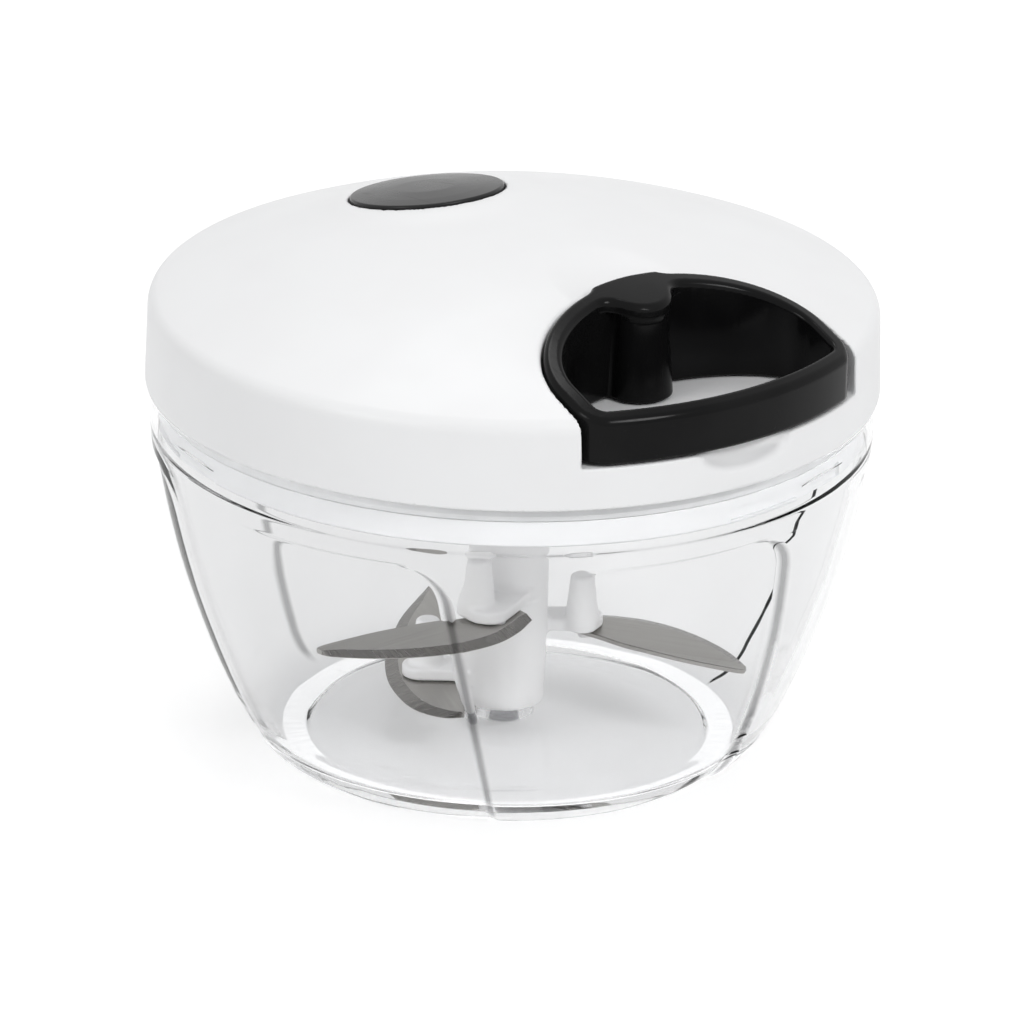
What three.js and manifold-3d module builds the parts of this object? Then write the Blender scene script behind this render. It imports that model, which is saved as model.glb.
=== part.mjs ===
// Pull-cord food chopper: a clear bowl with swirled panels, a domed two-piece lid and a D-shaped pull handle.
// Units are millimetres and +Z is up. The origin is the middle of the bowl's foot, and the handle is pulled
// along -Y.
import * as THREE from 'three';
import { mergeVertices } from 'three/addons/utils/BufferGeometryUtils.js';
import Module from 'manifold-3d';

// Clearances
const seatGap = 0.1;
const runningGap = 0.2;
const pieceGap = 0.3;
const skirtGap = 0.45;
const sealGap = 0.25;
const overrun = 4.0;

// Bowl, with the outer wall as shares of its height and of its rim's radius
const bowlHeight = 64.8;
const bowlRimRadius = 62.0;
const bowlHeightShares = [0, 0.035, 0.08, 0.2, 0.36, 0.55, 0.76, 0.87, 1];
const bowlRadiusShares = [0.64, 0.695, 0.736, 0.8, 0.866, 0.929, 0.977, 0.993, 1];
const bowlWall = 2.2;
const rimWall = 1.8;
const rimZoneHeight = 8.0;
const rimLedgeDrop = 0.7;
const rimEdgeChamfer = 0.4;
const bowlFloorTop = 4.0;
const bowlFloorFillet = 5.0;
const footWidth = 5.0;
const footRecessDepth = 0.9;
const floorRingRadius = 33.0;
const floorRingStep = 0.5;
const pinBossRadius = 4.8;
const pinBossHeight = 1.6;
const pinHoleFloor = 1.9;

// Swirled panels of the bowl: each slopes inwards from a crease to the step of the next rib
const panelCount = 6;
const panelDepth = 1.2;
const panelTopGap = 11.4;
const panelCornerRadius = 6.5;
const panelStepHeight = 0.9;
const ribLeanDegrees = -8.5;
const ribBaseDegrees = -39.7;
const panelCreaseShare = 0.47;
const ribStepShare = 0.024;
const panelShares = [0, 0.16, 0.32, panelCreaseShare, 0.62, 0.76, 0.88, 1 - ribStepShare];
const outerRowShares = [0, 0.035, 0.08, 0.16, 0.28, 0.43, 0.6];
const cornerRowShares = [0, 0.5, 0.82, 1];
const innerRowShares = [0, 0.2, 0.46, 0.72];

// Lugs in the bowl's rim and the slots of the lid that take them
const lugCount = 3;
const lugDegrees = 9;
const lugPlayDegrees = 4;
const lugBaseDegrees = 20;
const lugReach = 0.8;
const lugHeight = 1.5;
const lugTopDrop = 4.4;
const lockTurnDegrees = 15;
const lockSlotHeight = 2.6;
const lockLipHeight = 0.9;

// Pivot pin
const pinRadius = 2.4;
const pinHeight = 17.0;
const pinTipLength = 1.2;

// Spindle and its arms
const spindleRadius = 6.9;
const spindleFootRadius = 6.5;
const spindleFootChamfer = 0.8;
const shoulderGap = 0.8;
const driveHeadCore = 4.7;
const driveHeadChamfer = 0.7;
const driveHeadGap = 1.8;
const driveCount = 3;
const driveFinDegrees = 24;
const armThickness = 2.2;
const armWidth = 6.4;
const armRootOffset = 3.4;
const pegBaseRadius = 2.9;
const pegTopRadius = 2.0;
const pegHeight = 8.2;
const stubRadius = 1.3;
const stubHeadRadius = 2.0;
const stubHeadHeight = 0.7;

// Blades, flat in a frame of their own with the tip along +X: [along, aside] are shares of the reach
const bladeThickness = 0.8;
const bladeEdgeBevel = 2.4;
const bevelFadeShare = 0.3;
const sickle = {
  reach: 42.4,
  leadShares: [
    [0.1, 0.275], [0.22, 0.34], [0.36, 0.38], [0.53, 0.37], [0.7, 0.31], [0.86, 0.21], [0.975, 0.1],
  ],
  backShares: [
    [1, 0.055], [0.99, 0.015], [0.86, 0.015], [0.7, 0.03], [0.5, 0.07], [0.36, 0.115], [0.22, 0.155],
    [0.1, 0.19],
  ],
  armShares: [0.26, 0.2],
  pegShares: [0.27, 0.14],
  stubShares: [0.25, 0.24],
};
const crescent = {
  reach: 41.0,
  leadShares: [
    [-0.35, 0.29], [-0.325, 0.39], [-0.2, 0.48], [0.02, 0.505], [0.23, 0.475], [0.43, 0.405], [0.73, 0.265],
    [0.97, 0.1],
  ],
  backShares: [
    [1, 0.06], [0.98, 0.02], [0.68, 0.09], [0.41, 0.17], [0.19, 0.225], [0, 0.235], [-0.15, 0.215],
    [-0.28, 0.2],
  ],
  armShares: [0.09, 0.36],
  pegShares: [0.09, 0.33],
  stubShares: [0.09, 0.38],
};
const lowestBladeLevel = 9.2;
const bladeSpacing = 8.0;
const blades = [
  { name: 'blade_upper', level: lowestBladeLevel + 2 * bladeSpacing, heading: -89.2, form: sickle },
  { name: 'blade_middle', level: lowestBladeLevel + bladeSpacing, heading: 30.8, form: sickle },
  { name: 'blade_lower', level: lowestBladeLevel, heading: 158.8, form: crescent },
];

// Lid
const coverOverhang = 0.5;
const coverDraft = 0.6;
const shoulderFillet = 3.2;
const domeRise = 28.0;
const domeRadius = 137.0;
const domeRowShares = [0.78, 0.52, 0.26, 0];
const coverWall = 2.2;
const coverCeiling = 2.4;
const plateThickness = 2.0;
const skirtDepth = 7.0;
const skirtThickness = 2.8;
const sealHeight = 1.8;
const sealDepth = 1.5;
const sealTopDrop = 0.6;

// Handle, and the notch, thumb dish and finger scoop of the lid round it
const handleHalfWidth = 28.4;
const handleArcDepth = 19.0;
const handleArcInset = 14.5;
const handleGripInset = 0.3;
const handleWall = 4.4;
const handleLift = 7.5;
const handleProud = 0.4;
const handleTopSphere = 160.0;
const handleBevel = 0.9;
const handleCornerRadius = 2.4;
const postRadius = 4.2;
const postReach = 6.2;
const tongueHalfWidth = 6.6;
const tongueRootHalfWidth = 9.0;
const tongueThickness = 2.6;
const notchGap = 0.6;
const notchWall = 2.0;
const thumbDishHalfWidth = 11.0;
const thumbDishReach = 15.0;
const thumbDishDepth = 1.3;
const scoopHalfWidth = 9.5;
const scoopReach = 8.0;
const scoopWall = 1.2;
const scoopTopDrop = 0.4;

// Disc and the low plateau that it sits on
const discDistance = 24.0;
const discRadius = 13.3;
const discLift = 0.9;
const discEdgeBevel = 0.4;
const discCrown = 0.5;
const discCrownShares = [[0.75, 0.4], [0.4, 0.85]];
const discSeatDepth = 1.5;
const plateauRadius = 15.0;
const plateauFootRadius = 19.6;
const plateauLift = 0.3;
const plateauDepth = 3.2;

// Cord, drum, spring and drive
const cordRadius = 0.95;
const cordRise = 13.8;
const cordSide = -1;
const cordBendShare = 0.35;
const knotRadius = 2.3;
const eyeletRadius = 2.6;
const eyeletBore = 1.4;
const eyeletFlangeRadius = 3.4;
const eyeletFlangeThickness = 0.6;
const drumGap = 0.8;
const drumFlangeThickness = 1.6;
const drumGrooveShare = 0.3364;
const drumGrooveHeight = 6.2;
const drumGrooveFree = 2.8;
const drumCupWall = 1.8;
const axleRadius = 3.0;
const axleCrown = 3.5;
const arborWall = 2.6;
const springThickness = 0.45;
const springPitch = 1.8;
const springHeadroom = 0.8;
const springCoverThickness = 1.0;
const socketRadius = 9.8;
const socketBore = 7.4;
const socketDepth = 13.2;
const socketTopWall = 1.8;
const dogDegrees = 36;
const dogInnerRadius = 5.3;
const dogLead = 1.0;
const drivePinRadius = 1.4;
const drivePinCircle = 6.9;
const drivePinHeight = 1.2;
const collarWall = 1.8;

// Screws and the washer
const washerRadius = 5.6;
const washerThickness = 0.7;
const screwShankRadius = 1.4;
const screwHeadRadius = 2.8;
const screwHeadHeight = 1.7;
const axleScrewLength = 6.0;
const lidScrewLength = 9.0;
const lidScrewInset = 12.5;
const lidScrewBossRadius = 3.2;
const lidScrewDegrees = [135, 225, 67, 293];

// Facets
const fineTurn = 56;
const hollowTurn = 40;
const midTurn = 28;
const smallTurn = 16;
const tinyTurn = 12;
const cordTurn = 8;
const arcSteps = 4;
const filletSteps = 3;
const bumpSteps = 3;
const cordSteps = 8;
const handleSideSteps = 24;
const handleGripSteps = 16;

// Heights and radii that follow from the sizes above
const panelTop = bowlHeight - panelTopGap;
const rimInnerRadius = bowlRimRadius - rimWall;
const lugTop = bowlHeight - lugTopDrop;
const plateBottom = bowlHeight + seatGap;
const plateTop = plateBottom + plateThickness;
const coverEdgeZ = bowlHeight + pieceGap;
const coverRadius = bowlRimRadius + coverOverhang;
const domeApexZ = coverEdgeZ + domeRise;
const domeCentreZ = domeApexZ - domeRadius;
const handleBottom = coverEdgeZ + handleLift;
const handleGripRadius = coverRadius - handleGripInset;
const handleArcCentreY = handleArcInset - coverRadius;
const handleBackY = handleArcCentreY + handleArcDepth;
const notchFloor = handleBottom - pieceGap;
const notchBack = handleBackY + notchGap;
const discTilt = Math.asin(discDistance / domeRadius);
const cordLevel = coverEdgeZ + cordRise;
const grooveBottom = cordLevel - drumGrooveHeight / 2;
const grooveTop = grooveBottom + drumGrooveHeight;
const drumBottom = grooveBottom - drumFlangeThickness;
const drumTop = grooveTop + drumFlangeThickness;
const drumFlangeRadius = -notchBack - notchWall - eyeletFlangeThickness - drumGap;
const drumGrooveDepth = (drumFlangeRadius - axleRadius) * drumGrooveShare;
const drumBarrelRadius = drumFlangeRadius - drumGrooveDepth;
const drumCupRadius = drumBarrelRadius - drumCupWall;
const cordLayers = Math.max(1, Math.floor((drumGrooveDepth - drumGrooveFree) / (cordRadius * 2)));
const arborRadius = axleRadius + arborWall;
const socketTop = drumBottom - seatGap;
const socketCeiling = socketTop - socketTopWall;
const socketBottom = socketTop - socketDepth;
const axleBottom = socketCeiling - runningGap * 2;
const axleTop = domeApexZ - axleCrown;
const washerTop = axleBottom - seatGap;
const washerBottom = washerTop - washerThickness;
const axleScrewSeat = washerBottom - seatGap;
const spindleBottom = bowlFloorTop + pinBossHeight + pieceGap;
const spindleShoulder = socketBottom - shoulderGap;
const driveHeadTop = axleScrewSeat - screwHeadHeight - driveHeadGap;

// Looks
const clearPlastic = { color: 0xe9eef0, roughness: 0.08, metalness: 0, transparent: true, opacity: 0.35 };
const whitePlastic = { color: 0xf2f2f1, roughness: 0.38, metalness: 0 };
const blackGloss = { color: 0x101011, roughness: 0.16, metalness: 0 };
const discBlack = { color: 0x1c1c1d, roughness: 0.3, metalness: 0 };
const bladeSteel = { color: 0x9c9a96, roughness: 0.34, metalness: 1 };
const brightSteel = { color: 0xb9babb, roughness: 0.25, metalness: 1 };
const springSteel = { color: 0x6f7478, roughness: 0.35, metalness: 1 };
const naturalPlastic = { color: 0xe4e2dc, roughness: 0.42, metalness: 0 };
const silicone = { color: 0xf4f4f4, roughness: 0.6, metalness: 0 };
const nylonCord = { color: 0xdcdbd5, roughness: 0.8, metalness: 0 };

const wasm = await Module();
wasm.setup();
const group = new THREE.Group();
const radians = THREE.MathUtils.degToRad;
const weldDistance = 1e-4;

// A closed mesh with shared corners, no collapsed triangles and its faces pointing out.
function closed(geometry) {
  geometry.deleteAttribute('normal');
  geometry.deleteAttribute('uv');
  const merged = mergeVertices(geometry, weldDistance);
  const spots = merged.attributes.position;
  const corners = [];
  const a = new THREE.Vector3();
  const b = new THREE.Vector3();
  const c = new THREE.Vector3();
  let volume = 0;
  for (let i = 0; i < merged.index.count; i += 3) {
    const [p, q, r] = [merged.index.getX(i), merged.index.getX(i + 1), merged.index.getX(i + 2)];
    if (p === q || q === r || r === p) continue;
    corners.push(p, q, r);
    a.fromBufferAttribute(spots, p);
    b.fromBufferAttribute(spots, q);
    c.fromBufferAttribute(spots, r);
    volume += a.dot(b.cross(c));
  }
  if (volume < 0) corners.reverse();
  const whole = new THREE.BufferGeometry();
  whole.setAttribute('position', spots);
  whole.setIndex(corners);
  return whole;
}

function solid(geometry) {
  const whole = closed(geometry);
  return new wasm.Manifold(new wasm.Mesh({
    numProp: 3,
    vertProperties: new Float32Array(whole.attributes.position.array),
    triVerts: new Uint32Array(whole.index.array),
  }));
}

function surface(body) {
  const mesh = body.getMesh();
  const geometry = new THREE.BufferGeometry();
  geometry.setAttribute('position', new THREE.BufferAttribute(mesh.vertProperties, 3));
  geometry.setIndex(new THREE.BufferAttribute(mesh.triVerts, 1));
  return geometry;
}

function place(name, shape, look) {
  const geometry = shape.isBufferGeometry ? closed(shape) : surface(shape);
  const mesh = new THREE.Mesh(geometry, new THREE.MeshStandardMaterial(look));
  mesh.name = name;
  group.add(mesh);
}

// A turned solid about Z. The profile lists [radius, z] and closes on the axis or on itself.
function turned(profile, segments) {
  const points = profile.map(([r, z]) => new THREE.Vector2(r, z));
  const onAxis = profile[0][0] === 0 && profile[profile.length - 1][0] === 0;
  if (!onAxis) points.push(points[0].clone());
  return new THREE.LatheGeometry(points, segments).rotateX(Math.PI / 2);
}

function upright(radius, bottom, top, segments = tinyTurn) {
  return turned([[0, bottom], [radius, bottom], [radius, top], [0, top]], segments);
}

function prism(outline, bottom, top, curveSegments) {
  const depth = top - bottom;
  const block = new THREE.ExtrudeGeometry(outline, { depth, bevelEnabled: false, curveSegments });
  return block.translate(0, 0, bottom);
}

// The direction at an angle from the handle's side, counted towards +X.
function around(degrees, radius) {
  return [radius * Math.sin(radians(degrees)), -radius * Math.cos(radians(degrees))];
}

// A block between two radii, over a span of degrees round its middle.
function sector(innerRadius, outerRadius, middleDegrees, spanDegrees, bottom, top) {
  const from = radians(middleDegrees - spanDegrees / 2) - Math.PI / 2;
  const to = radians(middleDegrees + spanDegrees / 2) - Math.PI / 2;
  const shape = new THREE.Shape();
  shape.absarc(0, 0, outerRadius, from, to, false);
  shape.absarc(0, 0, innerRadius, to, from, true);
  return solid(prism(shape, bottom, top, arcSteps));
}

// A value read from a table by a smooth curve that never overshoots its neighbours.
function smoothTable(places, values, at) {
  const last = places.length - 1;
  const slopes = [];
  for (let i = 0; i < last; i++) slopes.push((values[i + 1] - values[i]) / (places[i + 1] - places[i]));
  const bend = (i) => {
    if (i === 0) return slopes[0];
    if (i === last) return slopes[last - 1];
    const product = slopes[i - 1] * slopes[i];
    return product <= 0 ? 0 : 2 * product / (slopes[i - 1] + slopes[i]);
  };
  let k = 0;
  while (k < last - 1 && at > places[k + 1]) k++;
  const span = places[k + 1] - places[k];
  const t = (at - places[k]) / span;
  const rise = values[k + 1] - values[k];
  const m0 = bend(k) * span;
  const m1 = bend(k + 1) * span;
  return values[k] + m0 * t + (3 * rise - 2 * m0 - m1) * t * t + (m0 + m1 - 2 * rise) * t * t * t;
}

const bowlShape = (share) => smoothTable(bowlHeightShares, bowlRadiusShares, share);
const bowlOuterRadius = (z) => bowlRimRadius * bowlShape(z / bowlHeight);
const bowlInnerRadius = (z) => bowlOuterRadius(z) - bowlWall;

// A rib leans back as it rises and its top bends over into the panel's rounded corner.
function ribAngle(z) {
  const level = Math.min(z, panelTop);
  const lean = ribLeanDegrees * level / panelTop;
  const intoCorner = Math.max(0, level - (panelTop - panelCornerRadius));
  const shift = panelCornerRadius - Math.sqrt(Math.max(0, panelCornerRadius ** 2 - intoCorner ** 2));
  return ribBaseDegrees + lean - THREE.MathUtils.radToDeg(shift / bowlOuterRadius(panelTop));
}

function panelInset(share, z) {
  const slope = Math.max(0, (share - panelCreaseShare) / (1 - panelCreaseShare));
  const open = 1 - Math.min(1, Math.max(0, (z - panelTop) / panelStepHeight));
  return panelDepth * slope * open;
}

// One ring of the bowl: its corners follow the ribs, so that each step stays crisp.
function bowlRing(radius, z, withPanels) {
  const ring = [];
  for (let panel = 0; panel < panelCount; panel++) {
    for (const share of panelShares) {
      const angle = ribAngle(z) + (panel + share) * 360 / panelCount;
      const inset = withPanels ? panelInset(share / (1 - ribStepShare), z) : 0;
      const [x, y] = around(angle, radius - inset);
      ring.push(new THREE.Vector3(x, y, z));
    }
  }
  return ring;
}

// Skins a stack of rings with the same number of corners. The first and last ring close on their middles.
function skinned(rings) {
  const count = rings[0].length;
  const spots = rings.flat();
  const first = new THREE.Vector3(0, 0, rings[0][0].z);
  const last = new THREE.Vector3(0, 0, rings[rings.length - 1][0].z);
  spots.push(first, last);
  const index = [];
  for (let i = 0; i < count; i++) {
    const next = (i + 1) % count;
    index.push(spots.length - 2, next, i);
    for (let row = 0; row < rings.length - 1; row++) {
      const low = row * count;
      const high = low + count;
      index.push(low + i, low + next, high + next, low + i, high + next, high + i);
    }
    index.push(spots.length - 1, (rings.length - 1) * count + i, (rings.length - 1) * count + next);
  }
  const geometry = new THREE.BufferGeometry().setFromPoints(spots);
  geometry.setIndex(index);
  return geometry;
}

// From the foot up the panelled outside, over the rim and down the plain inside to the hole of the pin.
function bowlRings() {
  const rings = [];
  const plain = (radius, z) => rings.push(bowlRing(radius, z, false));
  const panelled = (z) => rings.push(bowlRing(bowlOuterRadius(z), z, true));
  const footInner = bowlOuterRadius(0) - footWidth;
  plain(footInner - footRecessDepth, footRecessDepth);
  plain(footInner, 0);
  for (const share of outerRowShares) panelled(share * bowlHeight);
  for (const share of cornerRowShares) panelled(panelTop - panelCornerRadius * (1 - share));
  panelled(panelTop + panelStepHeight);
  panelled(bowlHeight - rimEdgeChamfer);
  plain(bowlRimRadius - rimEdgeChamfer, bowlHeight);
  plain(rimInnerRadius, bowlHeight);
  plain(rimInnerRadius, bowlHeight - rimZoneHeight);
  const wallTop = bowlHeight - rimZoneHeight - rimLedgeDrop;
  const filletTop = bowlFloorTop + bowlFloorFillet;
  for (const share of innerRowShares) {
    const z = THREE.MathUtils.lerp(wallTop, filletTop, share);
    plain(bowlInnerRadius(z), z);
  }
  const filletCentre = bowlInnerRadius(filletTop) - bowlFloorFillet;
  for (let step = 0; step <= filletSteps; step++) {
    const angle = Math.PI / 2 * step / filletSteps;
    plain(filletCentre + bowlFloorFillet * Math.cos(angle), filletTop - bowlFloorFillet * Math.sin(angle));
  }
  plain(floorRingRadius + floorRingStep, bowlFloorTop);
  plain(floorRingRadius, bowlFloorTop - floorRingStep);
  plain(pinBossRadius, bowlFloorTop - floorRingStep);
  plain(pinBossRadius, bowlFloorTop + pinBossHeight);
  plain(pinRadius + seatGap, bowlFloorTop + pinBossHeight);
  plain(pinRadius + seatGap, pinHoleFloor);
  return rings;
}

function makeBowl() {
  let bowl = solid(skinned(bowlRings()));
  for (let i = 0; i < lugCount; i++) {
    const middle = lugBaseDegrees + i * 360 / lugCount;
    const root = rimInnerRadius + rimWall / 2;
    bowl = bowl.add(sector(rimInnerRadius - lugReach, root, middle, lugDegrees, lugTop - lugHeight, lugTop));
  }
  place('bowl', bowl, clearPlastic);
  const bottom = pinHoleFloor + seatGap;
  const top = bottom + pinHeight;
  place('pivot_pin', turned([
    [0, bottom], [pinRadius, bottom], [pinRadius, top - pinTipLength],
    [pinRadius - pinTipLength, top], [0, top],
  ], smallTurn), brightSteel);
}

// A blade is flat below, and its bulged leading edge is ground to a bevel that faces up.
function makeBlade({ name, level, heading, form }) {
  const { reach, leadShares, backShares, stubShares } = form;
  const shares = [...leadShares, ...backShares];
  const outline = shares.map((share) => new THREE.Vector2(...share).multiplyScalar(reach));
  const ground = outline.map((point, i) => {
    if (i === 0 || i >= leadShares.length) return point.clone();
    const along = outline[i + 1].clone().sub(outline[i - 1]).normalize();
    const bevel = bladeEdgeBevel * Math.min(1, (1 - leadShares[i][0]) / bevelFadeShare);
    return point.clone().add(new THREE.Vector2(along.y, -along.x).multiplyScalar(bevel));
  });
  const low = outline.map((point) => new THREE.Vector3(point.x, point.y, level));
  const high = ground.map((point) => new THREE.Vector3(point.x, point.y, level + bladeThickness));
  const index = [];
  const count = outline.length;
  for (const face of THREE.ShapeUtils.triangulateShape(outline, [])) {
    const corners = face.map((i) => outline[i]);
    const [a, b, c] = THREE.ShapeUtils.isClockWise(corners) ? face : [...face].reverse();
    index.push(a, c, b, count + a, count + b, count + c);
  }
  for (let i = 0; i < count; i++) {
    const next = (i + 1) % count;
    index.push(i, next, count + next, i, count + next, count + i);
  }
  const plate = new THREE.BufferGeometry().setFromPoints([...low, ...high]);
  plate.setIndex(index);
  const hole = upright(stubRadius + seatGap, level - overrun, level + overrun);
  hole.translate(stubShares[0] * reach, stubShares[1] * reach, 0);
  const waist = upright(spindleRadius + seatGap, level - overrun, level + overrun, midTurn);
  const blade = solid(plate).subtract(solid(hole)).subtract(solid(waist));
  place(name, blade.rotate([0, 0, heading - 90]), bladeSteel);
}

// An arm lies on its blade, carries a tapered peg and holds the blade by a headed stub.
function makeArm({ level, heading, form }) {
  const { reach, armShares, pegShares, stubShares } = form;
  const bottom = level + bladeThickness + seatGap;
  const top = bottom + armThickness;
  const end = new THREE.Vector2(...armShares).multiplyScalar(reach);
  const root = new THREE.Vector2(0, armRootOffset);
  const lean = end.clone().sub(root).angle();
  const side = new THREE.Vector2(-Math.sin(lean), Math.cos(lean)).multiplyScalar(armWidth / 2);
  const outline = new THREE.Shape();
  outline.moveTo(root.x - side.x, root.y - side.y);
  outline.lineTo(end.x - side.x, end.y - side.y);
  outline.absarc(end.x, end.y, armWidth / 2, lean - Math.PI / 2, lean + Math.PI / 2, false);
  outline.lineTo(root.x + side.x, root.y + side.y);
  const plate = prism(outline, bottom, top, tinyTurn / 2);
  const pegTop = top + pegHeight;
  const peg = turned([
    [0, bottom], [pegBaseRadius, bottom], [pegBaseRadius, top], [pegTopRadius, pegTop], [0, pegTop],
  ], tinyTurn).translate(pegShares[0] * reach, pegShares[1] * reach, 0);
  const headTop = level - seatGap;
  const stub = turned([
    [0, headTop - stubHeadHeight], [stubHeadRadius, headTop - stubHeadHeight], [stubHeadRadius, headTop],
    [stubRadius, headTop], [stubRadius, bottom + armThickness / 2], [0, bottom + armThickness / 2],
  ], tinyTurn).translate(stubShares[0] * reach, stubShares[1] * reach, 0);
  return solid(plate).add(solid(peg)).add(solid(stub)).rotate([0, 0, heading - 90]);
}

function makeSpindle() {
  let spindle = solid(turned([
    [0, spindleBottom], [spindleFootRadius - spindleFootChamfer, spindleBottom],
    [spindleFootRadius, spindleBottom + spindleFootChamfer], [spindleRadius, blades[0].level],
    [spindleRadius, spindleShoulder], [driveHeadCore, spindleShoulder],
    [driveHeadCore, driveHeadTop - driveHeadChamfer], [driveHeadCore - driveHeadChamfer, driveHeadTop],
    [0, driveHeadTop],
  ], midTurn));
  for (const blade of blades) spindle = spindle.add(makeArm(blade));
  for (let i = 0; i < driveCount; i++) {
    const middle = i * 360 / driveCount;
    const bottom = spindleShoulder - driveHeadChamfer;
    const top = driveHeadTop - driveHeadChamfer;
    spindle = spindle.add(sector(driveHeadCore / 2, spindleRadius, middle, driveFinDegrees, bottom, top));
  }
  const boreTop = pinHoleFloor + seatGap + pinHeight + pieceGap;
  const bore = upright(pinRadius + runningGap, spindleBottom - overrun, boreTop, smallTurn);
  place('spindle', spindle.subtract(solid(bore)), whitePlastic);
}

// The dome is part of a sphere; its height above the foot at a distance from the axis.
const domeZ = (radius) => domeCentreZ + Math.sqrt(domeRadius ** 2 - radius ** 2);

// Half outline of the lid's outside, or of its hollow when it is set in by a wall and a ceiling.
function lidProfile(bottom, wall, ceiling, fillet) {
  const edgeRadius = coverRadius - wall;
  const topRadius = edgeRadius - coverDraft;
  const sphere = domeRadius - ceiling;
  const filletRadius = topRadius - fillet;
  const filletZ = domeCentreZ + Math.sqrt((sphere - fillet) ** 2 - filletRadius ** 2);
  const meet = Math.atan2(filletRadius, filletZ - domeCentreZ);
  const points = [[0, bottom], [edgeRadius, bottom]];
  for (let step = 0; step <= filletSteps; step++) {
    const angle = THREE.MathUtils.lerp(Math.PI / 2, meet, step / filletSteps);
    points.push([filletRadius + fillet * Math.sin(angle), filletZ + fillet * Math.cos(angle)]);
  }
  for (const share of domeRowShares) {
    points.push([sphere * Math.sin(meet * share), domeCentreZ + sphere * Math.cos(meet * share)]);
  }
  return points;
}

// Plan outline of the handle, grown outwards by a distance and open past the lid's rim.
function handleOutline(grow) {
  const halfWidth = handleHalfWidth + grow;
  const shape = new THREE.Shape();
  shape.moveTo(halfWidth, handleArcCentreY);
  shape.absellipse(0, handleArcCentreY, halfWidth, handleArcDepth + grow, 0, Math.PI, false);
  shape.lineTo(-halfWidth, -coverRadius - overrun);
  shape.lineTo(halfWidth, -coverRadius - overrun);
  return shape;
}

// Stands a shape, drawn about Z with its seat at 0, on the dome where the disc is.
function onPlateau(geometry) {
  const distance = (domeRadius + plateauLift) * Math.sin(discTilt);
  const height = domeCentreZ + (domeRadius + plateauLift) * Math.cos(discTilt);
  return geometry.rotateX(-discTilt).translate(0, distance, height);
}

const lidScrewPlaces = lidScrewDegrees.map((degrees) => around(degrees, coverRadius - lidScrewInset));

// An egg-shaped cutter under the grip, grown by a wall.
function fingerScoop(grow) {
  const middle = notchFloor - scoopTopDrop;
  const depth = middle - plateTop - pieceGap - scoopWall;
  const egg = new THREE.SphereGeometry(1, smallTurn, tinyTurn);
  egg.scale(scoopHalfWidth + grow, scoopReach + grow, depth + grow);
  return solid(egg.translate(0, -coverRadius, middle));
}

// A shallow dish in the dome where the thumb rests behind the handle.
function thumbDish() {
  const egg = new THREE.SphereGeometry(1, midTurn, smallTurn);
  egg.scale(thumbDishHalfWidth, thumbDishReach, thumbDishDepth);
  const tilt = Math.asin(-notchBack / domeRadius);
  return solid(egg.rotateX(tilt).translate(0, notchBack, domeZ(notchBack)));
}

function makeCover() {
  const roof = domeApexZ + overrun;
  const outside = turned(lidProfile(coverEdgeZ, 0, 0, shoulderFillet), fineTurn);
  const plateau = onPlateau(turned([
    [0, -plateauDepth], [plateauFootRadius, -plateauDepth], [plateauFootRadius, -plateauDepth / 2],
    [plateauRadius, 0], [0, 0],
  ], midTurn));
  const innerFillet = shoulderFillet - coverWall / 2;
  const hollow = turned(lidProfile(coverEdgeZ - overrun, coverWall, coverCeiling, innerFillet), hollowTurn);
  const notchHull = solid(prism(handleOutline(notchGap + notchWall), notchFloor - notchWall, roof, midTurn));
  const room = solid(hollow).subtract(notchHull).subtract(fingerScoop(scoopWall));
  let cover = solid(outside).add(solid(plateau)).subtract(room);
  const arborBottom = grooveBottom + pieceGap * 2;
  cover = cover.add(solid(upright(arborRadius, arborBottom, domeApexZ - coverCeiling / 2, smallTurn)));
  for (const [x, y] of lidScrewPlaces) {
    const ceiling = domeZ(coverRadius - lidScrewInset + lidScrewBossRadius) - coverCeiling / 2;
    cover = cover.add(solid(upright(lidScrewBossRadius, plateTop + seatGap, ceiling).translate(x, y, 0)));
    const holeTop = plateBottom + lidScrewLength + pieceGap;
    const hole = upright(screwShankRadius + seatGap, plateTop - overrun, holeTop);
    cover = cover.subtract(solid(hole.translate(x, y, 0)));
  }
  cover = cover.subtract(solid(prism(handleOutline(notchGap), notchFloor, roof, midTurn)));
  cover = cover.subtract(fingerScoop(0)).subtract(thumbDish());
  cover = cover.subtract(solid(upright(axleRadius + seatGap, axleBottom, axleTop + seatGap, smallTurn)));
  cover = cover.subtract(solid(onPlateau(upright(discRadius + pieceGap, -discSeatDepth, overrun, midTurn))));
  const eyeletHole = eyeletRadius + seatGap;
  const drill = new THREE.CylinderGeometry(eyeletHole, eyeletHole, overrun * 2, tinyTurn);
  cover = cover.subtract(solid(drill.translate(0, notchBack, cordLevel)));
  place('lid_cover', cover, whitePlastic);
}

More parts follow.
